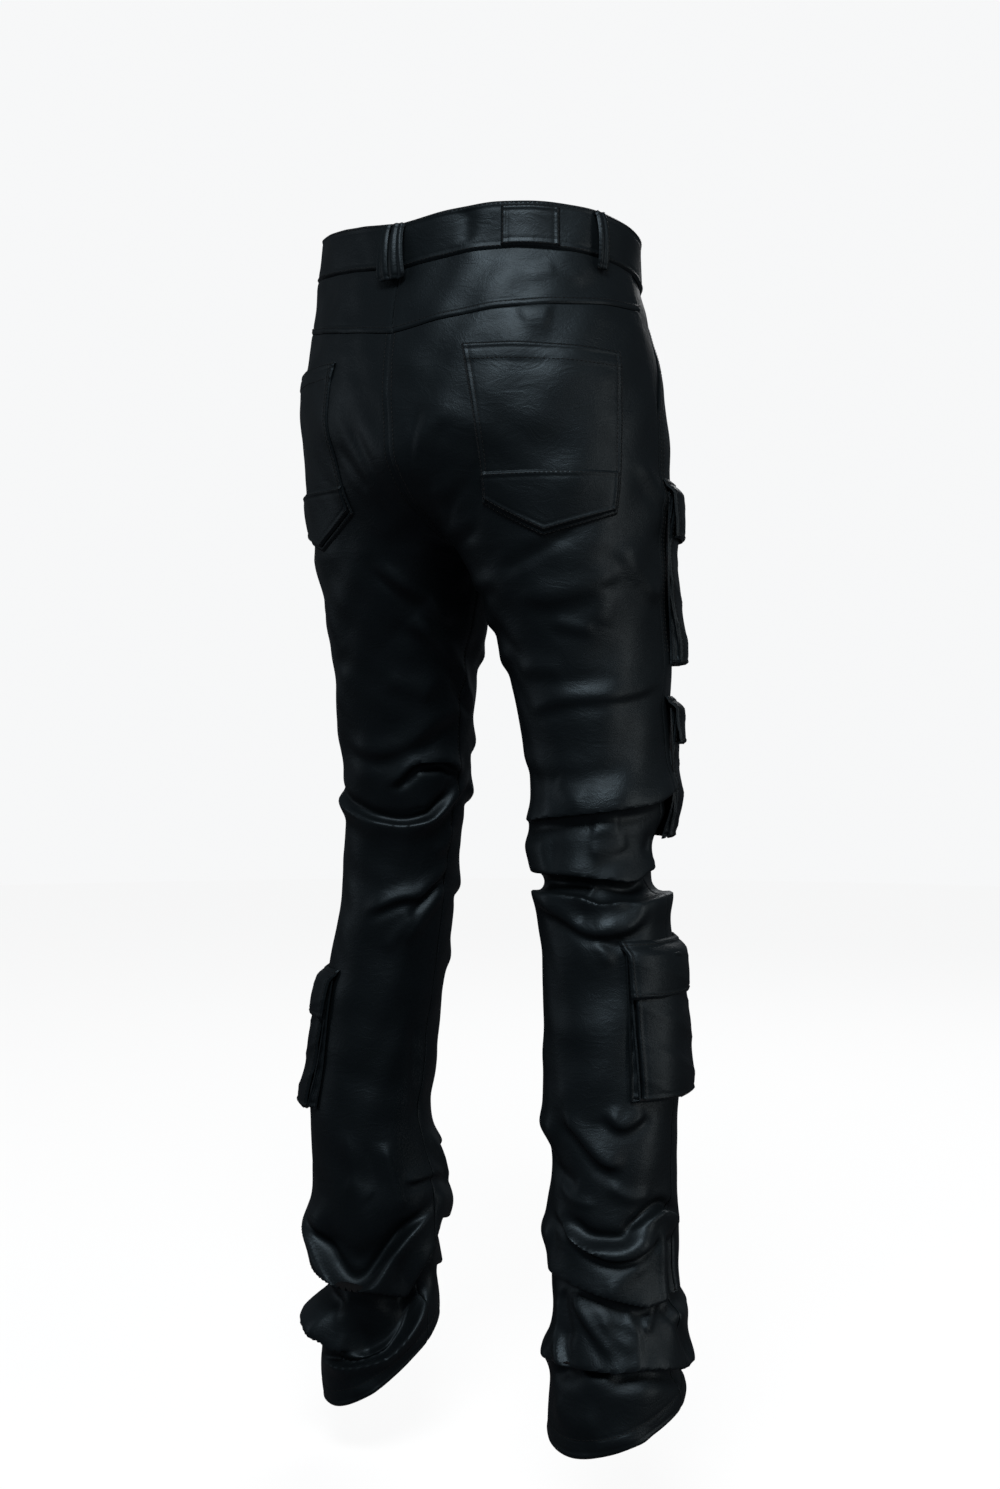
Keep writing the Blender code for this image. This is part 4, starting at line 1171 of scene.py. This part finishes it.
rows = spread(0.0, BAND_DEPTH, BAND_STEP)[:, None]
half = spread(SEAM_U, 1.0, COLUMN_STEP, HALF_WAIST)
longer = spread(-UNDERLAP_U, 1.0, COLUMN_STEP, HALF_WAIST)
face = BAND_PROUD + BAND_BOW * np.sin(np.pi * (rows / BAND_DEPTH)) ** 0.7
behind_left = (BAND_WALL + ON_PANEL) * (1 - smooth_step(*UNDERLAP_STEP, longer))
right = on_form("right", longer, rows, face - behind_left)
left = on_form("left", half, rows, face + 0 * half)
points, smooth, crest = (join_at_back(*halves) for halves in zip(right, left))
cloth("waist_band", "right", finish_edges("right", points, ALL_TURNED), smooth, crest,
      wall=BAND_WALL, held="hung", stands_for=["waistband"])

# %% [markdown]
# ## Label patch, belt loops and fly
#
# The patch is a blank rectangle of smoother leather, stitched to the band right of
# the centre back. Nothing is printed on it.

# %% Label patch
PATCH_U = (0.690, 0.805)
PATCH_DROPS = (0.0035, BAND_DEPTH - 0.0015)
us = spread(*PATCH_U, BAND_STEP, HALF_WAIST)
rows = spread(*PATCH_DROPS, BAND_STEP)[:, None]
patch = lay("blank_patch", "right", us, rows, ALL_TURNED, lift=ON_BAND, stiff=0.7, worn=0.3,
            rests_on=["waist_band"], stands_for=["label_patch"])
patch.data.materials[0] = materials["patch"]

# %% [markdown]
# A belt loop is a narrow folded strip. It is sewn flat at both ends and bows out
# between them, so that a belt can pass behind it.

# %% Belt loops
LOOPS = [  # node, side, middle as u, and how far it bows out
    ("loop_back_right", "right", 0.600, 0.0075),
    ("loop_back_left", "left", 0.560, 0.0065),
    ("loop_front_right", "right", 0.220, 0.0065),
    ("loop_front_left", "left", 0.220, 0.0065),
]
LOOP_WIDTH = 0.011
LOOP_ENDS = (0.0015, BAND_DEPTH + 0.012)


def loop_bow(drop):
    """0 at a loop's sewn ends and 1 between them."""
    share = np.clip((drop - LOOP_ENDS[0]) / (LOOP_ENDS[1] - LOOP_ENDS[0]), 0, 1)
    return np.sqrt(np.abs(np.sin(np.pi * share)))


rows = spread(*LOOP_ENDS, 0.0016)[:, None]
for name, side, middle, bow in LOOPS:
    across = LOOP_WIDTH / 2 / HALF_WAIST
    us = spread(middle - across, middle + across, 0.0012, HALF_WAIST)
    lay(f"sewn_{name}", side, us, rows, ALL_TURNED, lift=ON_BAND + bow * loop_bow(rows),
        stiff=1.0, worn=0.0, rests_on=["waist_band"], stands_for=[name])

# %% [markdown]
# The loop at the centre back is wider. It is a pleated strip: its two halves part at
# the top, with a slit between them, and close towards the rounded lower end.

# %% Centre loop
CENTRE_U = 0.985
CENTRE_WIDTH = 0.026
CENTRE_BOW = 0.0068
CENTRE_SLIT = 0.0024
CENTRE_SHIFT = 0.004
CENTRE_PROUD = 0.0010
ROUND_FROM, ROUND_OVER = 0.86, 0.19  # where its lower end starts to round, and how slowly
TAPER = (0.86, 0.30)  # its width at the top, and how much it gains further down
PLEAT, PLEAT_SHARE, PLEAT_FALL = 0.0014, 0.55, 0.0010

rows = spread(*LOOP_ENDS, 0.0014)
shares = spread(0.0, 1.0, 0.0009, 0.0105)
base = leather_point("left", CENTRE_U, rows) + outward("left", CENTRE_U, rows) * ON_BAND
low = (rows - rows[0]) / (rows[-1] - rows[0])
slit = (CENTRE_SLIT / 2 * (1 - low) + SEAM_GAP / 2)[:, None]
rounding = np.sqrt(1 - np.clip((low - ROUND_FROM) / ROUND_OVER, 0, 1) ** 2)
outer = (CENTRE_WIDTH / 2 * (TAPER[0] + TAPER[1] * low) * rounding)[:, None]
middle = (column(BODY, 1, rows) + CENTRE_SHIFT)[:, None]
pleat = PLEAT * np.sin(np.pi * np.clip(shares / PLEAT_SHARE, 0, 1)) - PLEAT_FALL * shares**2
y = (base[:, 1] + CENTRE_BOW * loop_bow(rows) + CENTRE_PROUD)[:, None] + pleat
for side, sign in SIDES.items():
    x = middle + sign * (slit + (outer - slit) * shares)
    flat = np.stack(np.broadcast_arrays(x, y, base[:, 2:3]), axis=-1)
    points = flat[:, ::-1]  # the form's columns run towards the centre back
    points = finish_edges(side, points, dict.fromkeys(("top", "bottom", "front"), turned_edge))
    cloth(f"pleated_loop_{side}", side, points, points, np.zeros(x.shape),
          rests_on=["waist_band"], stands_for=[f"loop_centre_{side}"])

# %% [markdown]
# The fly placket is a strip on the wearer's left front. Its lower end curves in to
# the centre seam. The zip is behind it and out of sight, so it isn't made.

# %% Fly placket
FLY_DROP = 0.185
FLY_CURVE = 0.045
FLY_WIDTH = 0.036
HALF_ROUND = math.pi * 0.167  # metres from the centre front to the centre back there
FLY_OUTER = FLY_WIDTH / HALF_ROUND + SEAM_U
FLY_INNER = 3 * SEAM_U

rows = spread(BAND_SEAM + SEAM_GAP, FLY_DROP, 0.0026)[:, None]
bend = np.clip((rows - (FLY_DROP - FLY_CURVE)) / (FLY_CURVE * 1.02), 0, 1)
outer = FLY_INNER + (FLY_OUTER - FLY_INNER) * np.sqrt(1 - bend**2)
us = FLY_INNER + (outer - FLY_INNER) * spread(0.0, 1.0, 0.0024, FLY_WIDTH)
edges = {"top": seam_profile, "back": turned_edge, "bottom": turned_edge}
lay("fly_strip", "left", us, rows, edges, lift=WALL + ON_PANEL, stiff=0.5,
    rests_on=["front_leg_left"], stands_for=["fly_placket"])

# %% [markdown]
# ## Waist button
#
# The button is a plain stamped shank button. It starts as a flat cylinder. Its top
# is inset for the rim, sunk for the dish, and raised again in the middle, and a
# bevel rounds every edge.

# %% Waist button
BUTTON_RADIUS = 0.0085
BUTTON_DEPTH = 0.0022
RIM, DISH, MIDDLE_DOT = (0.0016, -0.0006), (0.0028, 0.0004), (0.0014, 0.0003)  # inset, rise


def select_faces(piece, test):
    """In edit mode, selects only the faces whose centre and normal pass the test."""
    bpy.ops.object.mode_set(mode="OBJECT")
    for group in (piece.data.vertices, piece.data.edges):
        group.foreach_set("select", [False] * len(group))
    for face in piece.data.polygons:
        face.select = bool(test(face.center, face.normal))
    bpy.ops.object.mode_set(mode="EDIT")
    bpy.ops.mesh.select_mode(type="FACE")


low, high = (np.array(corner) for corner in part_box("waist_button"))
u = 0.018 / (math.pi * BODY[0][2])
facing = Vector(outward("left", u, BAND_DEPTH / 2))
bpy.ops.mesh.primitive_cylinder_add(vertices=40, radius=BUTTON_RADIUS, depth=BUTTON_DEPTH)
button = bpy.context.active_object
button.name = button.data.name = "shank_button"
bpy.ops.object.mode_set(mode="EDIT")
select_faces(button, lambda centre, normal: normal.z > 0.9)
for inset, rise in (RIM, DISH, MIDDLE_DOT):
    bpy.ops.mesh.inset(thickness=inset)
    bpy.ops.transform.translate(value=(0, 0, rise))
select_faces(button, lambda centre, normal: normal.z < -0.9)
bpy.ops.transform.resize(value=(0.8, 0.8, 1.0))
bpy.ops.object.mode_set(mode="OBJECT")
rounded = button.modifiers.new("rounded rims", "BEVEL")
rounded.width, rounded.segments, rounded.angle_limit = 0.0003, 2, math.radians(25)
bpy.ops.object.modifier_apply(modifier=rounded.name)
button.rotation_euler = facing.to_track_quat("Z", "Y").to_euler()
button.location = (low + high) / 2
bpy.ops.object.transform_apply(location=True, rotation=True, scale=True)
bpy.ops.object.shade_smooth_by_angle(angle=math.radians(35))
button.data.materials.append(materials["metal"])
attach(button, "root")
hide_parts("waist_button")
button.select_set(False)
print(len(button.data.polygons), "faces in the button")

# %% [markdown]
# ## Back pockets
#
# Each back pocket is a five-sided patch with a pointed lower edge. A grid fits it
# when its rows run from the straight top edge down to the point. The top is turned
# under for a hem, which shows as a step, and a second panel covers the lower part.

# %% Back pockets
# Corners as u and drop: top left, top right, lower right, the point, lower left
BACK_POCKET = [(0.588, 0.118), (0.872, 0.115), (0.838, 0.240), (0.712, 0.268), (0.592, 0.250)]
POCKET_PANEL = [(0.598, 0.216), (0.844, 0.216), (0.832, 0.237), (0.712, 0.264), (0.598, 0.247)]
POCKET_WIDTH = 0.125
POCKET_HEM = 0.0145
POCKET_STIFF = 0.3


def five_sided(corners, step):
    """u and drop of a grid over a five-sided outline with its point at the bottom."""
    a, b, c, point, d = np.array(corners)
    across = spread(0.0, 1.0, step, POCKET_WIDTH)[:, None]
    down = spread(0.0, 1.0, step, point[1] - a[1])[:, None, None]
    point_at = (point[0] - d[0]) / (c[0] - d[0])
    top = a + (b - a) * across
    left = d + (point - d) * across / point_at
    right = point + (c - point) * (across - point_at) / (1 - point_at)
    low = np.where(across < point_at, left, right)
    grid = top + (low - top) * down
    return grid[..., 0], grid[..., 1]


def hemmed_top(distance):
    """A double layer down to the hem's stitching, and a step there."""
    double = 1 - smooth_step(POCKET_HEM - 0.001, POCKET_HEM + 0.0008, distance)
    return turned_edge(distance) + 0.0007 * double


HEMMED = {**ALL_TURNED, "top": hemmed_top}
for side in SIDES:
    pocket = f"patch_pocket_{side}"
    lay(pocket, side, *five_sided(BACK_POCKET, 0.0024), HEMMED, lift=WALL + ON_PANEL,
        stiff=POCKET_STIFF, rests_on=[f"back_leg_{side}"], stands_for=[f"back_pocket_{side}"])
    lay(f"lower_panel_{side}", side, *five_sided(POCKET_PANEL, 0.0020), ALL_TURNED,
        lift=2 * WALL + 3 * ON_PANEL, stiff=POCKET_STIFF, rests_on=[pocket],
        stands_for=[f"pocket_panel_{side}"])

# %% [markdown]
# ## Cargo pockets
#
# Three pockets run down the outside of each leg. Each has a face that stands off the
# leg, a gusset folded like bellows round three of its sides, and a flap that is sewn
# above it and hangs over its mouth. The face is a little fuller in the middle than
# at its edges, and its lower corners stand off the most.

# %% Sizes of the cargo pockets
# place, side, back and front turn, top, bottom, flap, stand-off above and below, sunk
CARGO = [
    ("thigh_upper", "right", -14, -95, 0.226, 0.366, 0.048, 0.006, 0.012, 0.0060),
    ("thigh_upper", "left", -14, -95, 0.226, 0.366, 0.048, 0.006, 0.012, 0.0045),
    ("thigh_lower", "right", -14, -98, 0.402, 0.508, 0.040, 0.006, 0.009, 0.0060),
    ("thigh_lower", "left", -14, -98, 0.402, 0.508, 0.040, 0.006, 0.009, 0.0040),
    ("calf", "right", 43, -82, 0.596, 0.708, 0.045, 0.005, 0.010, 0.0008),
    ("calf", "left", 70, -55, 0.646, 0.762, 0.045, 0.005, 0.013, 0.0012),
]
FLAP_RISE = 0.010
FLAP_PROUD = 0.0030
FLAP_WIDER = 0.004 / (2 * math.pi * UNROLL_RADIUS)  # at each end, as u
BELOW_FACE = 0.0030
GUSSET_CLEAR = 0.0012
GUSSET_ROWS = 13
GUSSET_TURN_IN = 0.006
CARGO_STEP = 0.0026
FLAP_SEED = 9  # so that a flap's dents differ from its pocket's


def turn_to_u(degrees):
    return 0.5 + degrees / 360.0


def across_u(row, across, wider=0.0):
    """Places across a pocket, 0 at its front edge and 1 at its back edge, as u."""
    back, front = turn_to_u(row[2]), turn_to_u(row[3])
    return front - wider + (back - front + 2 * wider) * across


def stand_off(row, drops, slack=1.0):
    """How far a pocket's face stands off: slack leather has sunk in below the flap."""
    top, bottom, _, off_top, off_bottom, sunk = row[4:]
    share = np.clip((drops - top) / (bottom - top), 0, 1)
    return off_top + (off_bottom - off_top) * share - slack * sunk * np.sin(np.pi * share**0.8) ** 2


def pocket_points(row, us, drops, height, clear=0.0):
    """Points over the leg: clear of it, then lifted along the pocket's own direction."""
    side = row[1]
    middle_u = turn_to_u((row[2] + row[3]) / 2)
    direction = outward(side, np.array(middle_u), np.array((row[4] + row[5]) / 2))
    direction = np.array([direction[0], direction[1], 0.0])
    direction /= np.linalg.norm(direction)
    us, drops, height = np.broadcast_arrays(us, drops, np.asarray(height, float))
    base = leather_point(side, us, drops)
    points = base + outward(side, us, drops) * np.asarray(WALL + ON_PANEL + clear)[..., None]
    return points + direction * height[..., None]


print(len(CARGO), "cargo pockets")

# %% [markdown]
# The three pieces of a pocket come from one loop over the table. The gusset's rows
# go from its foot, on the leg, to its rim under the face, and its middle rows are
# drawn inwards for the folds of the bellows.

# %% Faces, gussets and flaps
def soft_fold(across, down, seed):
    """Slow dents in a pocket's face, different on each pocket."""
    wave = np.sin(5.1 * across + 3.3 * down + seed) * np.sin(2.7 * across - 4.9 * down + 2.1 * seed)
    sharp = (1 - np.abs(np.sin(3.1 * across + 6.3 * down + 1.3 * seed))) ** 3
    return 0.0011 * wave + 0.0008 * sharp


def raise_grid(side, smooth, height, edges):
    """A smooth grid with its surface raised and its edges shaped."""
    return finish_edges(side, smooth + normals_of(side, smooth) * height[..., None], edges)


def pocket_face(row, label, across, number):
    """The outer face: fuller in the middle, with a hem along its mouth."""
    side, top, bottom = row[1], row[4], row[5]
    down = spread(0.0, 1.0, CARGO_STEP, bottom - top)[:, None]
    us, drops = np.broadcast_arrays(across_u(row, across), top + (bottom - top) * down)
    fullness = np.sin(np.pi * across) ** 0.6 * np.sin(np.pi * (0.25 + 0.75 * down)) ** 0.8
    smooth = pocket_points(row, us, drops, stand_off(row, drops))
    height = 0.0026 * fullness + soft_fold(across * 2, down * 2, number)
    points = raise_grid(side, smooth, height, HEMMED)
    cloth(f"pocket_face_{label}", side, points, smooth, np.zeros(us.shape),
          rests_on=[f"front_leg_{side}", f"back_leg_{side}"], stands_for=[f"cargo_{label}"])


def gusset(row, label, number):
    """The bellows: down the front edge, along the bottom and up the back edge."""
    side, top, bottom = row[1], row[4], row[5]
    u_back, u_front = turn_to_u(row[2]), turn_to_u(row[3])
    side_drops = spread(top, bottom, CARGO_STEP)
    low_us = spread(u_front, u_back, CARGO_STEP, FORM_WIDTH)
    upright = np.ones(len(side_drops) - 1)
    path_u = np.concatenate([upright * u_front, low_us, upright * u_back])
    path_drop = np.concatenate([side_drops[:-1], np.full(len(low_us), bottom), side_drops[-2::-1]])
    foot = pocket_points(row, path_u, path_drop, ON_PANEL, GUSSET_CLEAR)
    edge = pocket_points(row, path_u, path_drop, stand_off(row, path_drop) - BELOW_FACE)
    inwards = np.mean(foot, axis=0) - foot
    inwards /= np.linalg.norm(inwards, axis=-1, keepdims=True)
    share = np.linspace(0, 1, GUSSET_ROWS)[:, None, None]
    tuck = 0.0024 * np.sin(np.pi * share) + 0.0007 * np.sin(3 * np.pi * share)
    pucker = 1 + 0.22 * np.sin(np.arange(len(path_u)) * 0.9 + number)[None, :, None]
    points = foot + (edge - foot) * share + inwards * tuck * pucker
    turned = points[::-1] if side == "left" else points[::-1, ::-1]
    cloth(f"bellows_{label}", "left", turned, turned, np.zeros(turned.shape[:-1]), held="folded",
          rests_on=[f"front_leg_{side}", f"back_leg_{side}"], stands_for=[f"gusset_{label}"],
          turn_in=GUSSET_TURN_IN)


def flap_over(row, label, across, number):
    """The flap: sewn to the leg above the mouth, stepping out over the face."""
    side, top, flap = row[1], row[4], row[6]
    start = top - FLAP_RISE
    levels = spread(start, start + flap, 0.0020)[:, None]
    us, levels = np.broadcast_arrays(across_u(row, across, FLAP_WIDER), levels)
    step_out = smooth_step(start + 0.001, top + 0.002, levels)
    clear = ON_PANEL + (FLAP_PROUD - ON_PANEL) * step_out
    smooth = pocket_points(row, us, levels, stand_off(row, levels, 0.0) * step_out, clear)
    share = (levels - start) / flap
    swell = 0.0016 * np.sin(np.pi * across) ** 0.7 * np.sin(np.pi * share)
    swell = swell + 0.6 * soft_fold(across * 2, share, number + FLAP_SEED)
    lip = 0.0014 * (np.abs(2 * across - 1) ** 4) * smooth_step(0.5, 1.0, share)
    points = raise_grid(side, smooth, np.maximum(swell, -0.0006) + lip, ALL_TURNED)
    cloth(f"hanging_flap_{label}", side, points, smooth, np.zeros(us.shape),
          rests_on=[f"pocket_face_{label}"], stands_for=[f"flap_{label}"])


for number, row in enumerate(CARGO):
    label = f"{row[0]}_{row[1]}"
    width = (turn_to_u(row[2]) - turn_to_u(row[3])) * FORM_WIDTH
    across = spread(0.0, 1.0, CARGO_STEP, width)
    pocket_face(row, label, across, number)
    gusset(row, label, number)
    flap_over(row, label, across, number)

# %% [markdown]
# ## Stitches
#
# The trousers are topstitched in thick black thread. One stitch is a short strand
# with pinched ends, where it goes down into the leather. It is modelled once, and
# copies of it are set along each line of stitching. A thread hardly shows, but it
# catches a small light at every stitch, and that is what makes a seam look sewn.

# %% Model one stitch
STITCH_LENGTH = 0.0028
STITCH_PITCH = 0.0036
THREAD_RADIUS = 0.00026

bpy.ops.mesh.primitive_cylinder_add(
    vertices=5, radius=THREAD_RADIUS, depth=STITCH_LENGTH * 0.6, rotation=(0, math.pi / 2, 0)
)
strand = bpy.context.active_object
bpy.ops.object.transform_apply(location=True, rotation=True, scale=True)
bpy.ops.object.mode_set(mode="EDIT")
for end in (-1, 1):
    select_faces(strand, lambda centre, normal: normal.x * end > 0.9)
    bpy.ops.mesh.extrude_region_move(
        TRANSFORM_OT_translate={"value": (end * STITCH_LENGTH * 0.2, 0, -THREAD_RADIUS * 0.9)}
    )
    bpy.ops.transform.resize(value=(1.0, 0.5, 0.5))
bpy.ops.object.mode_set(mode="OBJECT")
stitch_points = np.array([vertex.co for vertex in strand.data.vertices])
stitch_faces = [list(face.vertices) for face in strand.data.polygons]
bpy.data.objects.remove(strand)
print(len(stitch_faces), "faces in a stitch")

# %% [markdown]
# `seam_line` finds a line on a finished piece, at a set distance inside one of its
# edges. `sew` walks along such lines, and sets a stitch on the surface at each step,
# turned to follow the line. All the stitches of a piece become one object.

# %% Sew along a piece
def seam_line(name, edge, inset, start=0.0, end=1.0):
    """Points and normals along a made piece, inset metres inside one edge."""
    side, points = made[name]
    along = edge_first(from_edge(points, edge), edge)
    laid = edge_first(points, edge)
    normal = edge_first(normals_of(side, points), edge)
    last = laid.shape[1] - 1
    keep = range(int(start * last), int(end * last) + 1)
    line, up = (
        np.array([[np.interp(inset, along[:, i], values[:, i, k]) for k in range(3)] for i in keep])
        for values in (laid, normal)
    )
    return line, up / np.linalg.norm(up, axis=-1, keepdims=True)


def seams(name, edges, *insets):
    """The lines inside several edges of one piece."""
    return [seam_line(name, edge, inset) for edge in edges for inset in insets]


def sew(name, lines):
    """All the stitches of these lines as one piece."""
    blocks = []
    for line, up in lines:
        along = lengths_along(line)
        count = int(along[-1] / STITCH_PITCH)
        if count < 1:
            continue
        at = (np.arange(count) + 0.5) * along[-1] / count
        centre, before, after, rise = (
            np.stack([np.interp(at + shift, along, values[:, k]) for k in range(3)], axis=-1)
            for shift, values in ((0, line), (-0.001, line), (0.001, line), (0, up))
        )
        forward = after - before
        forward /= np.linalg.norm(forward, axis=-1, keepdims=True)
        rise -= forward * (rise * forward).sum(-1, keepdims=True)
        rise /= np.linalg.norm(rise, axis=-1, keepdims=True)
        beside = np.cross(rise, forward)
        turned = np.stack([forward, beside, rise], axis=1)
        centre += rise * THREAD_RADIUS * 0.55
        blocks.append(stitch_points @ turned + centre[:, None, :])
    placed_stitches = np.concatenate(blocks)
    count = len(placed_stitches)
    mesh = bpy.data.meshes.new(name)
    starts = range(0, count * len(stitch_points), len(stitch_points))
    faces = [[start + v for v in face] for start in starts for face in stitch_faces]
    mesh.from_pydata(placed_stitches.reshape(-1, 3).tolist(), [], faces)
    mesh.polygons.foreach_set("use_smooth", [True] * len(mesh.polygons))
    mesh.materials.append(materials["thread"])
    piece = bpy.data.objects.new(name, mesh)
    bpy.context.scene.collection.objects.link(piece)
    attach(piece, "root")
    print(f"{name}: {count} stitches")


SIDES_AND_BOTTOM = ("front", "back", "bottom")
for side in SIDES:
    seat_seam = seam_line(f"back_leg_{side}", "back", 0.005, 0.0, 0.40)
    sew(f"thread_yoke_{side}", [seam_line(f"seat_yoke_{side}", "bottom", 0.0045), seat_seam])
    sew(f"thread_hem_{side}", [
        seam_line(f"{part}_leg_{side}", "bottom", HEM_LINE) for part in ("back", "front")
    ])
    pocket = f"patch_pocket_{side}"
    sew(f"thread_back_pocket_{side}", (
        seams(pocket, SIDES_AND_BOTTOM, 0.0022, 0.0062)
        + seams(pocket, ["top"], 0.0022, POCKET_HEM)
        + seams(f"lower_panel_{side}", ("top", "front", "back", "bottom"), 0.0028)
    ))
    sew(f"thread_mouth_{side}", [
        seam_line(f"front_leg_{side}", "back", inset, 0.0, 0.30) for inset in (0.003, 0.009)
    ])
sew("thread_waist", seams("waist_band", ("top", "bottom"), 0.003))
sew("thread_patch", seams("blank_patch", EDGES, 0.0024))
sew("thread_fly", seams("fly_strip", ("back", "bottom"), 0.003, 0.008))
for place, side, *_ in CARGO:
    label = f"{place}_{side}"
    sew(f"thread_{label}", (
        seams(f"hanging_flap_{label}", (*SIDES_AND_BOTTOM, "top"), 0.0042)
        + seams(f"pocket_face_{label}", SIDES_AND_BOTTOM, 0.0032)
    ))
sew("thread_loops", [line for loop in LOOPS for line in seams(f"sewn_{loop[0]}", EDGES, 0.0022)])

# %% [markdown]
# ## Camera, light and floor
#
# The camera is level and looks at the back and the right side from a little above
# the knee. A small vertical shift, as on a view camera, puts the trousers in the
# middle of the frame and keeps their upright lines upright.

# %% Camera
VIEW_FROM = (-0.889, 1.270, -0.412)
VIEW_ALONG = (0.5736, -0.8192, 0.0)
lens = bpy.data.cameras.new("camera")
lens.lens, lens.sensor_width = 43.6, 36.0
lens.shift_x, lens.shift_y = 0.0121, -0.01645
camera = bpy.data.objects.new("camera", lens)
camera.location = VIEW_FROM
camera.rotation_euler = Vector(VIEW_ALONG).to_track_quat("-Z", "Y").to_euler()
bpy.context.scene.collection.objects.link(camera)
bpy.context.scene.camera = camera
print("camera at", VIEW_FROM)

# %% [markdown]
# Black leather is drawn by what it reflects. The main light is a wide soft box high
# above the camera, which lights every surface that faces up. A tall warm panel at
# the right gives the long reflection down the outer side, and a faint one at the
# left draws the other edge. The panels are oval, because a square one leaves square
# lights on smooth leather. The room itself is dim for the leather and pale for the
# eye, so that the black stays black.

# %% Lights
MIDDLE = (0.0, 0.0, -0.5)
LIGHTS = [  # name, place, width and height, watts, colour
    ("overhead", (-0.9, 1.6, 1.5), (1.3, 0.9), 27.0, (0.97, 0.99, 1.0)),
    ("warm panel", (-2.3, 0.0, -0.3), (0.7, 1.8), 6.0, (1.0, 0.90, 0.82)),
    ("left rim", (1.7, 0.9, -0.1), (0.35, 1.4), 1.3, (0.92, 0.96, 1.0)),
    ("front fill", (0.6, -2.2, 1.2), (1.4, 1.2), 12.0, (1.0, 1.0, 1.0)),
]
for name, position, size, watts, colour in LIGHTS:
    light = bpy.data.lights.new(name, "AREA")
    light.shape = "ELLIPSE"
    light.size, light.size_y = size
    light.energy, light.color = watts, colour
    lamp = bpy.data.objects.new(name, light)
    lamp.location = position
    towards = Vector(MIDDLE) - Vector(position)
    lamp.rotation_euler = towards.to_track_quat("-Z", "Y").to_euler()
    bpy.context.scene.collection.objects.link(lamp)


def camera_only(tree, seen, felt, output):
    """Shows one shader to the eye, and another to what the leather reflects."""
    path = node(tree, "ShaderNodeLightPath")
    either = node(tree, "ShaderNodeMixShader")
    tree.links.new(path.outputs["Is Camera Ray"], either.inputs["Fac"])
    tree.links.new(felt.outputs[0], either.inputs[1])
    tree.links.new(seen.outputs[0], either.inputs[2])
    tree.links.new(either.outputs[0], output.inputs["Surface"])


world = bpy.data.worlds.new("pale room")
bpy.context.scene.world = world
world.use_nodes = True
tree = world.node_tree
tree.nodes.clear()
seen = node(tree, "ShaderNodeBackground", Color=(0.93, 0.935, 0.94, 1.0), Strength=1.0)
felt = node(tree, "ShaderNodeBackground", Color=(0.80, 0.90, 1.0, 1.0), Strength=0.065)
camera_only(tree, seen, felt, node(tree, "ShaderNodeOutputWorld"))
bpy.context.scene.view_settings.view_transform = "Standard"
print("lights:", [light.name for light in bpy.data.lights])

# %% [markdown]
# The floor is a wide pale disc that fades into the room. It lies a little below the
# hems, since the trousers are held up at the waist.

# %% Floor
FLOOR_Z = -1.075
bpy.ops.mesh.primitive_circle_add(
    vertices=96, radius=6.0, fill_type="NGON", location=(0, 0, FLOOR_Z)
)
floor = bpy.context.active_object
floor.name = floor.data.name = "studio_floor"
bpy.ops.object.transform_apply(location=True, rotation=True, scale=True)
paper, tree, shader = new_material("pale paper")
shader.inputs["Base Color"].default_value = (0.28, 0.28, 0.28, 1.0)
shader.inputs["Roughness"].default_value = 0.9
shader.inputs["Emission Color"].default_value = (1.0, 1.0, 1.0, 1.0)
shader.inputs["Emission Strength"].default_value = 0.90
shade = node(tree, "ShaderNodeBsdfDiffuse", Color=(0.12, 0.12, 0.13, 1.0))
camera_only(tree, shader, shade, tree.nodes["Material Output"])
floor.data.materials.append(paper)
print("floor at", FLOOR_Z)
